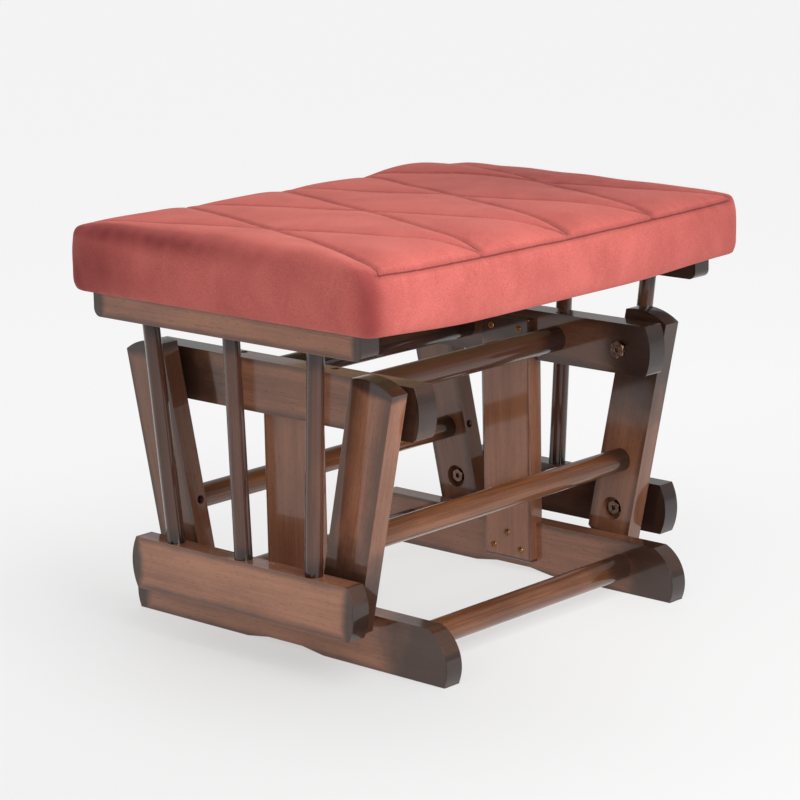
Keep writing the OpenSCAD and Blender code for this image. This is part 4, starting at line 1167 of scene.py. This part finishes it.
# %% Sew the stitches
STITCH_PITCH, STITCH_LENGTH, THREAD_R = 4.2 * MM, 3.0 * MM, 0.38 * MM
FIRST_STITCH, LAST_STITCH, STITCH_SIDE_ROOM = 3 * MM, 4 * MM, 6 * MM
THREAD_SIDES, THREAD_SAG, THREAD_LIFT = 6, 1.4, 0.4
CAPSULE = ((0.0, 0.35), (0.14, 0.9), (0.5, 1.0), (0.86, 0.9), (1.0, 0.35))


def add_stitch(shape, first, second):
    """A thin capsule between two points, whose ends dive into the cloth."""
    along = (second - first).normalized()
    side = along.orthogonal().normalized()
    other = along.cross(side)
    turns = [k * 2 * math.pi / THREAD_SIDES for k in range(THREAD_SIDES)]
    rings = []
    for share, width in CAPSULE:
        sag = Vector((0, 0, -THREAD_R * THREAD_SAG * (2 * share - 1) ** 2))
        centre = first.lerp(second, share) + sag
        rings.append([shape.verts.new(
            centre + (side * math.cos(t) + other * math.sin(t)) * THREAD_R * width) for t in turns])
    for lower, upper in zip(rings, rings[1:]):
        for k in range(THREAD_SIDES):
            after = (k + 1) % THREAD_SIDES
            shape.faces.new((lower[k], lower[after], upper[after], upper[k]))
    shape.faces.new(rings[0][::-1])
    shape.faces.new(rings[-1])


velvet_surface = BVHTree.FromObject(cushion, bpy.context.evaluated_depsgraph_get())


def on_velvet(x, y):
    hit = velvet_surface.ray_cast(Vector((x, y + MIDDLE_Y, 1.0)), Vector((0, 0, -1)))[0]
    return hit + Vector((0, 0, THREAD_R * THREAD_LIFT))


stitches, stitch_count = bmesh.new(), 0
for start, way in quilt_starts:
    y = -SEAM_HALF_Y + FIRST_STITCH
    while (y < SEAM_HALF_Y - LAST_STITCH
           and abs(quilt_x(start, way, y)) <= SEAM_HALF_X - STITCH_SIDE_ROOM):
        far_y = y + STITCH_LENGTH * LINE_LEAN
        add_stitch(stitches, on_velvet(quilt_x(start, way, y), y),
                   on_velvet(quilt_x(start, way, far_y), far_y))
        stitch_count += 1
        y += STITCH_PITCH * LINE_LEAN
print("stitches:", stitch_count)

# %% [markdown]
# ## Finishes of the thread and the foam
# Thread is twisted fibre, a little darker than the velvet that it holds. The foam block inside the
# cover is never seen whole, yet it belongs to the part and gets its own finish: cream, dull, with
# the small open cells of cut foam. Each could have a texture of its own, but the nap group serves
# both, with its clouds made small enough to read as fibres or as cells.

# %% Finish the thread and the foam
def make_fibrous(name, low, high, clouds, fuzz, roughness, strength, distance, **shader_values):
    material, tree, shader = new_material(name, **shader_values)
    nap = place_group(tree, nap_group, {"Place": own_place(tree), "Cloud Scale": clouds,
                                        "Fuzz Scale": fuzz})
    lay_surface(tree, shader, mix_colour(tree, nap["Clouds"], low, high), nap["Clouds"], roughness,
                nap["Fuzz"], strength, distance)
    return material


thread_finish = make_fibrous("quilting_thread", srgb(112, 34, 36), srgb(150, 56, 54),
                             clouds=60.0, fuzz=5200.0, roughness=(0.7, 0.55), strength=0.4,
                             distance=0.2 * MM, Sheen_Weight=0.2)
foam_finish = make_fibrous("seat_foam", srgb(214, 200, 160), srgb(238, 228, 196),
                           clouds=240.0, fuzz=1500.0, roughness=(0.95, 0.85), strength=0.6,
                           distance=1 * MM, Specular_IOR_Level=0.2)
thread_mesh = bpy.data.meshes.new("quilting_stitches")
stitches.to_mesh(thread_mesh)
stitches.free()
thread_mesh.shade_smooth()
thread_mesh.materials.append(thread_finish)
thread = put_in_scene("quilting_stitches", thread_mesh)
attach(thread, "seat")
give_material("cushion_foam", foam_finish)
print("thread and foam finished")

# %% [markdown]
# ## The floor
# A studio picture of furniture is taken on a white sweep. The sweep could be a curved sheet, but a
# wide pale floor fills the whole view from this height. It lies a hair under the feet, because two
# faces in exactly the same place flicker. A real sweep is lit by lamps of its own: a faint glow of
# the floor stands for them, brighter to the rear, and weaker in a wide soft patch under the
# ottoman, where those lamps don't reach. Everything is fixed to the floor itself, so it stays put
# when we walk around it.

# %% Lay the floor
FLOOR_HALF, FLOOR_GAP = 30.0, 0.2 * MM
FLOOR_GREYS = srgb(140, 140, 140), srgb(144, 144, 144)
GLOW_GREYS = srgb(179, 179, 179), srgb(220, 220, 220)
REARWARD, SWEEP_FROM, SWEEP_TO = (0.45, 0.9, 0.0), -1.3, 0.9
PATCH_MIDDLE, PATCH_NARROWNESS, PATCH_DARK = (-0.23, -0.07, 0.0), (6.0, 3.4, 0.0), 0.17
CLOUDS_PER_METRE, BLACK, WHITE = 1.3, (0.0, 0.0, 0.0, 1.0), (1.0, 1.0, 1.0, 1.0)


def make_floor_material():
    material, tree, shader = new_material("studio_floor", Specular_IOR_Level=0.25,
                                          Emission_Strength=1.0)
    place = own_place(tree)
    cloud = noise(tree, place, CLOUDS_PER_METRE, 2.0)
    rearward = vector_calc(tree, "DOT_PRODUCT", place, REARWARD, result="Value")
    glow = mix_colour(tree, remap(tree, rearward, SWEEP_FROM, SWEEP_TO), *GLOW_GREYS)
    beside = vector_calc(tree, "SUBTRACT", place, PATCH_MIDDLE)
    away = vector_calc(tree, "LENGTH", vector_calc(tree, "MULTIPLY", beside, PATCH_NARROWNESS),
                       result="Value")
    fall = calc(tree, "EXPONENT", calc(tree, "MULTIPLY", calc(tree, "MULTIPLY", away, away), -1.0))
    under = calc(tree, "MULTIPLY", fall, PATCH_DARK)
    tree.links.new(mix_colour(tree, cloud, *FLOOR_GREYS), shader["Base Color"])
    tree.links.new(mix_colour(tree, under, glow, BLACK), shader["Emission Color"])
    tree.links.new(remap(tree, cloud, 0, 1, 0.62, 0.7), shader["Roughness"])
    return material


floor_mesh = bpy.data.meshes.new("studio_floor")
floor_mesh.from_pydata([(x * FLOOR_HALF, y * FLOOR_HALF, 0)
                        for x, y in ((-1, -1), (1, -1), (1, 1), (-1, 1))], [], [(0, 1, 2, 3)])
floor = put_in_scene("studio_floor", floor_mesh)
floor.location.z = -FLOOR_GAP
floor_mesh.materials.append(make_floor_material())
floor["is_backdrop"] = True
print("floor laid,", 2 * FLOOR_HALF, "m wide")

# %% [markdown]
# ## The lights
# Furniture is lit by large soft lamps, close enough for the light to fade across the piece. Suns
# light every view alike but leave no such fall, so the three main lamps are area lights: the key in
# front and to the left of the middle, low enough to reach the links, one above for the top, and a
# weak one that opens the left side. A single faint sun with a very wide angle fills from above, and
# the world gives the rest.

# %% Hang the lights
def hang_lamp(name, kind, towards, power, place=(0, 0, 0), **settings):
    """A lamp at a place that shines in a direction; power is in watts, or a sun's strength."""
    light = bpy.data.lights.new(name, kind)
    light.energy = power
    for setting, value in settings.items():
        setattr(light, setting, value)
    lamp = put_in_scene(name, light)
    lamp.location = place
    lamp.rotation_mode = "QUATERNION"
    lamp.rotation_quaternion = Vector(towards).to_track_quat("-Z", "Y")


SUN_WAY, SUN_STRENGTH, SUN_ANGLE, WORLD_STRENGTH = (0.20, 0.25, -1.0), 0.35, math.radians(75), 0.46
for name, place, target, (width, height), watts in (
        ("key_softbox", (-0.35, -1.5, 0.8), (-0.05, 0.0, 0.25), (1.1, 0.9), 22),
        ("top_softbox", (-0.35, -0.75, 1.45), (-0.05, 0.0, 0.4), (0.9, 0.9), 8.3),
        ("left_softbox", (-1.8, -0.7, 0.7), (0.0, 0.0, 0.25), (1.2, 0.8), 4.5)):
    hang_lamp(name, "AREA", Vector(target) - Vector(place), watts, place, shape="RECTANGLE",
              size=width, size_y=height)
hang_lamp("top_light", "SUN", SUN_WAY, SUN_STRENGTH, angle=SUN_ANGLE)
world = bpy.data.worlds.new("studio")
world.use_nodes = True
background = world.node_tree.nodes["Background"].inputs
background["Color"].default_value = WHITE
background["Strength"].default_value = WORLD_STRENGTH
bpy.context.scene.world = world
bpy.context.scene.view_settings.view_transform = "Standard"
print("lamps hung:", len(bpy.data.lights))

# %% [markdown]
# ## Measure and finish
# The finish may not change the size of the part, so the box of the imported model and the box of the
# dressed one are written side by side before the frame checks every piece.

# %% Compare the sizes and finish
dressed_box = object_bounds()
for label, (low, high) in (("packed", cad_box), ("dressed", dressed_box)):
    print(label, [round((high[axis] - low[axis]) / MM, 1) for axis in range(3)], "mm")
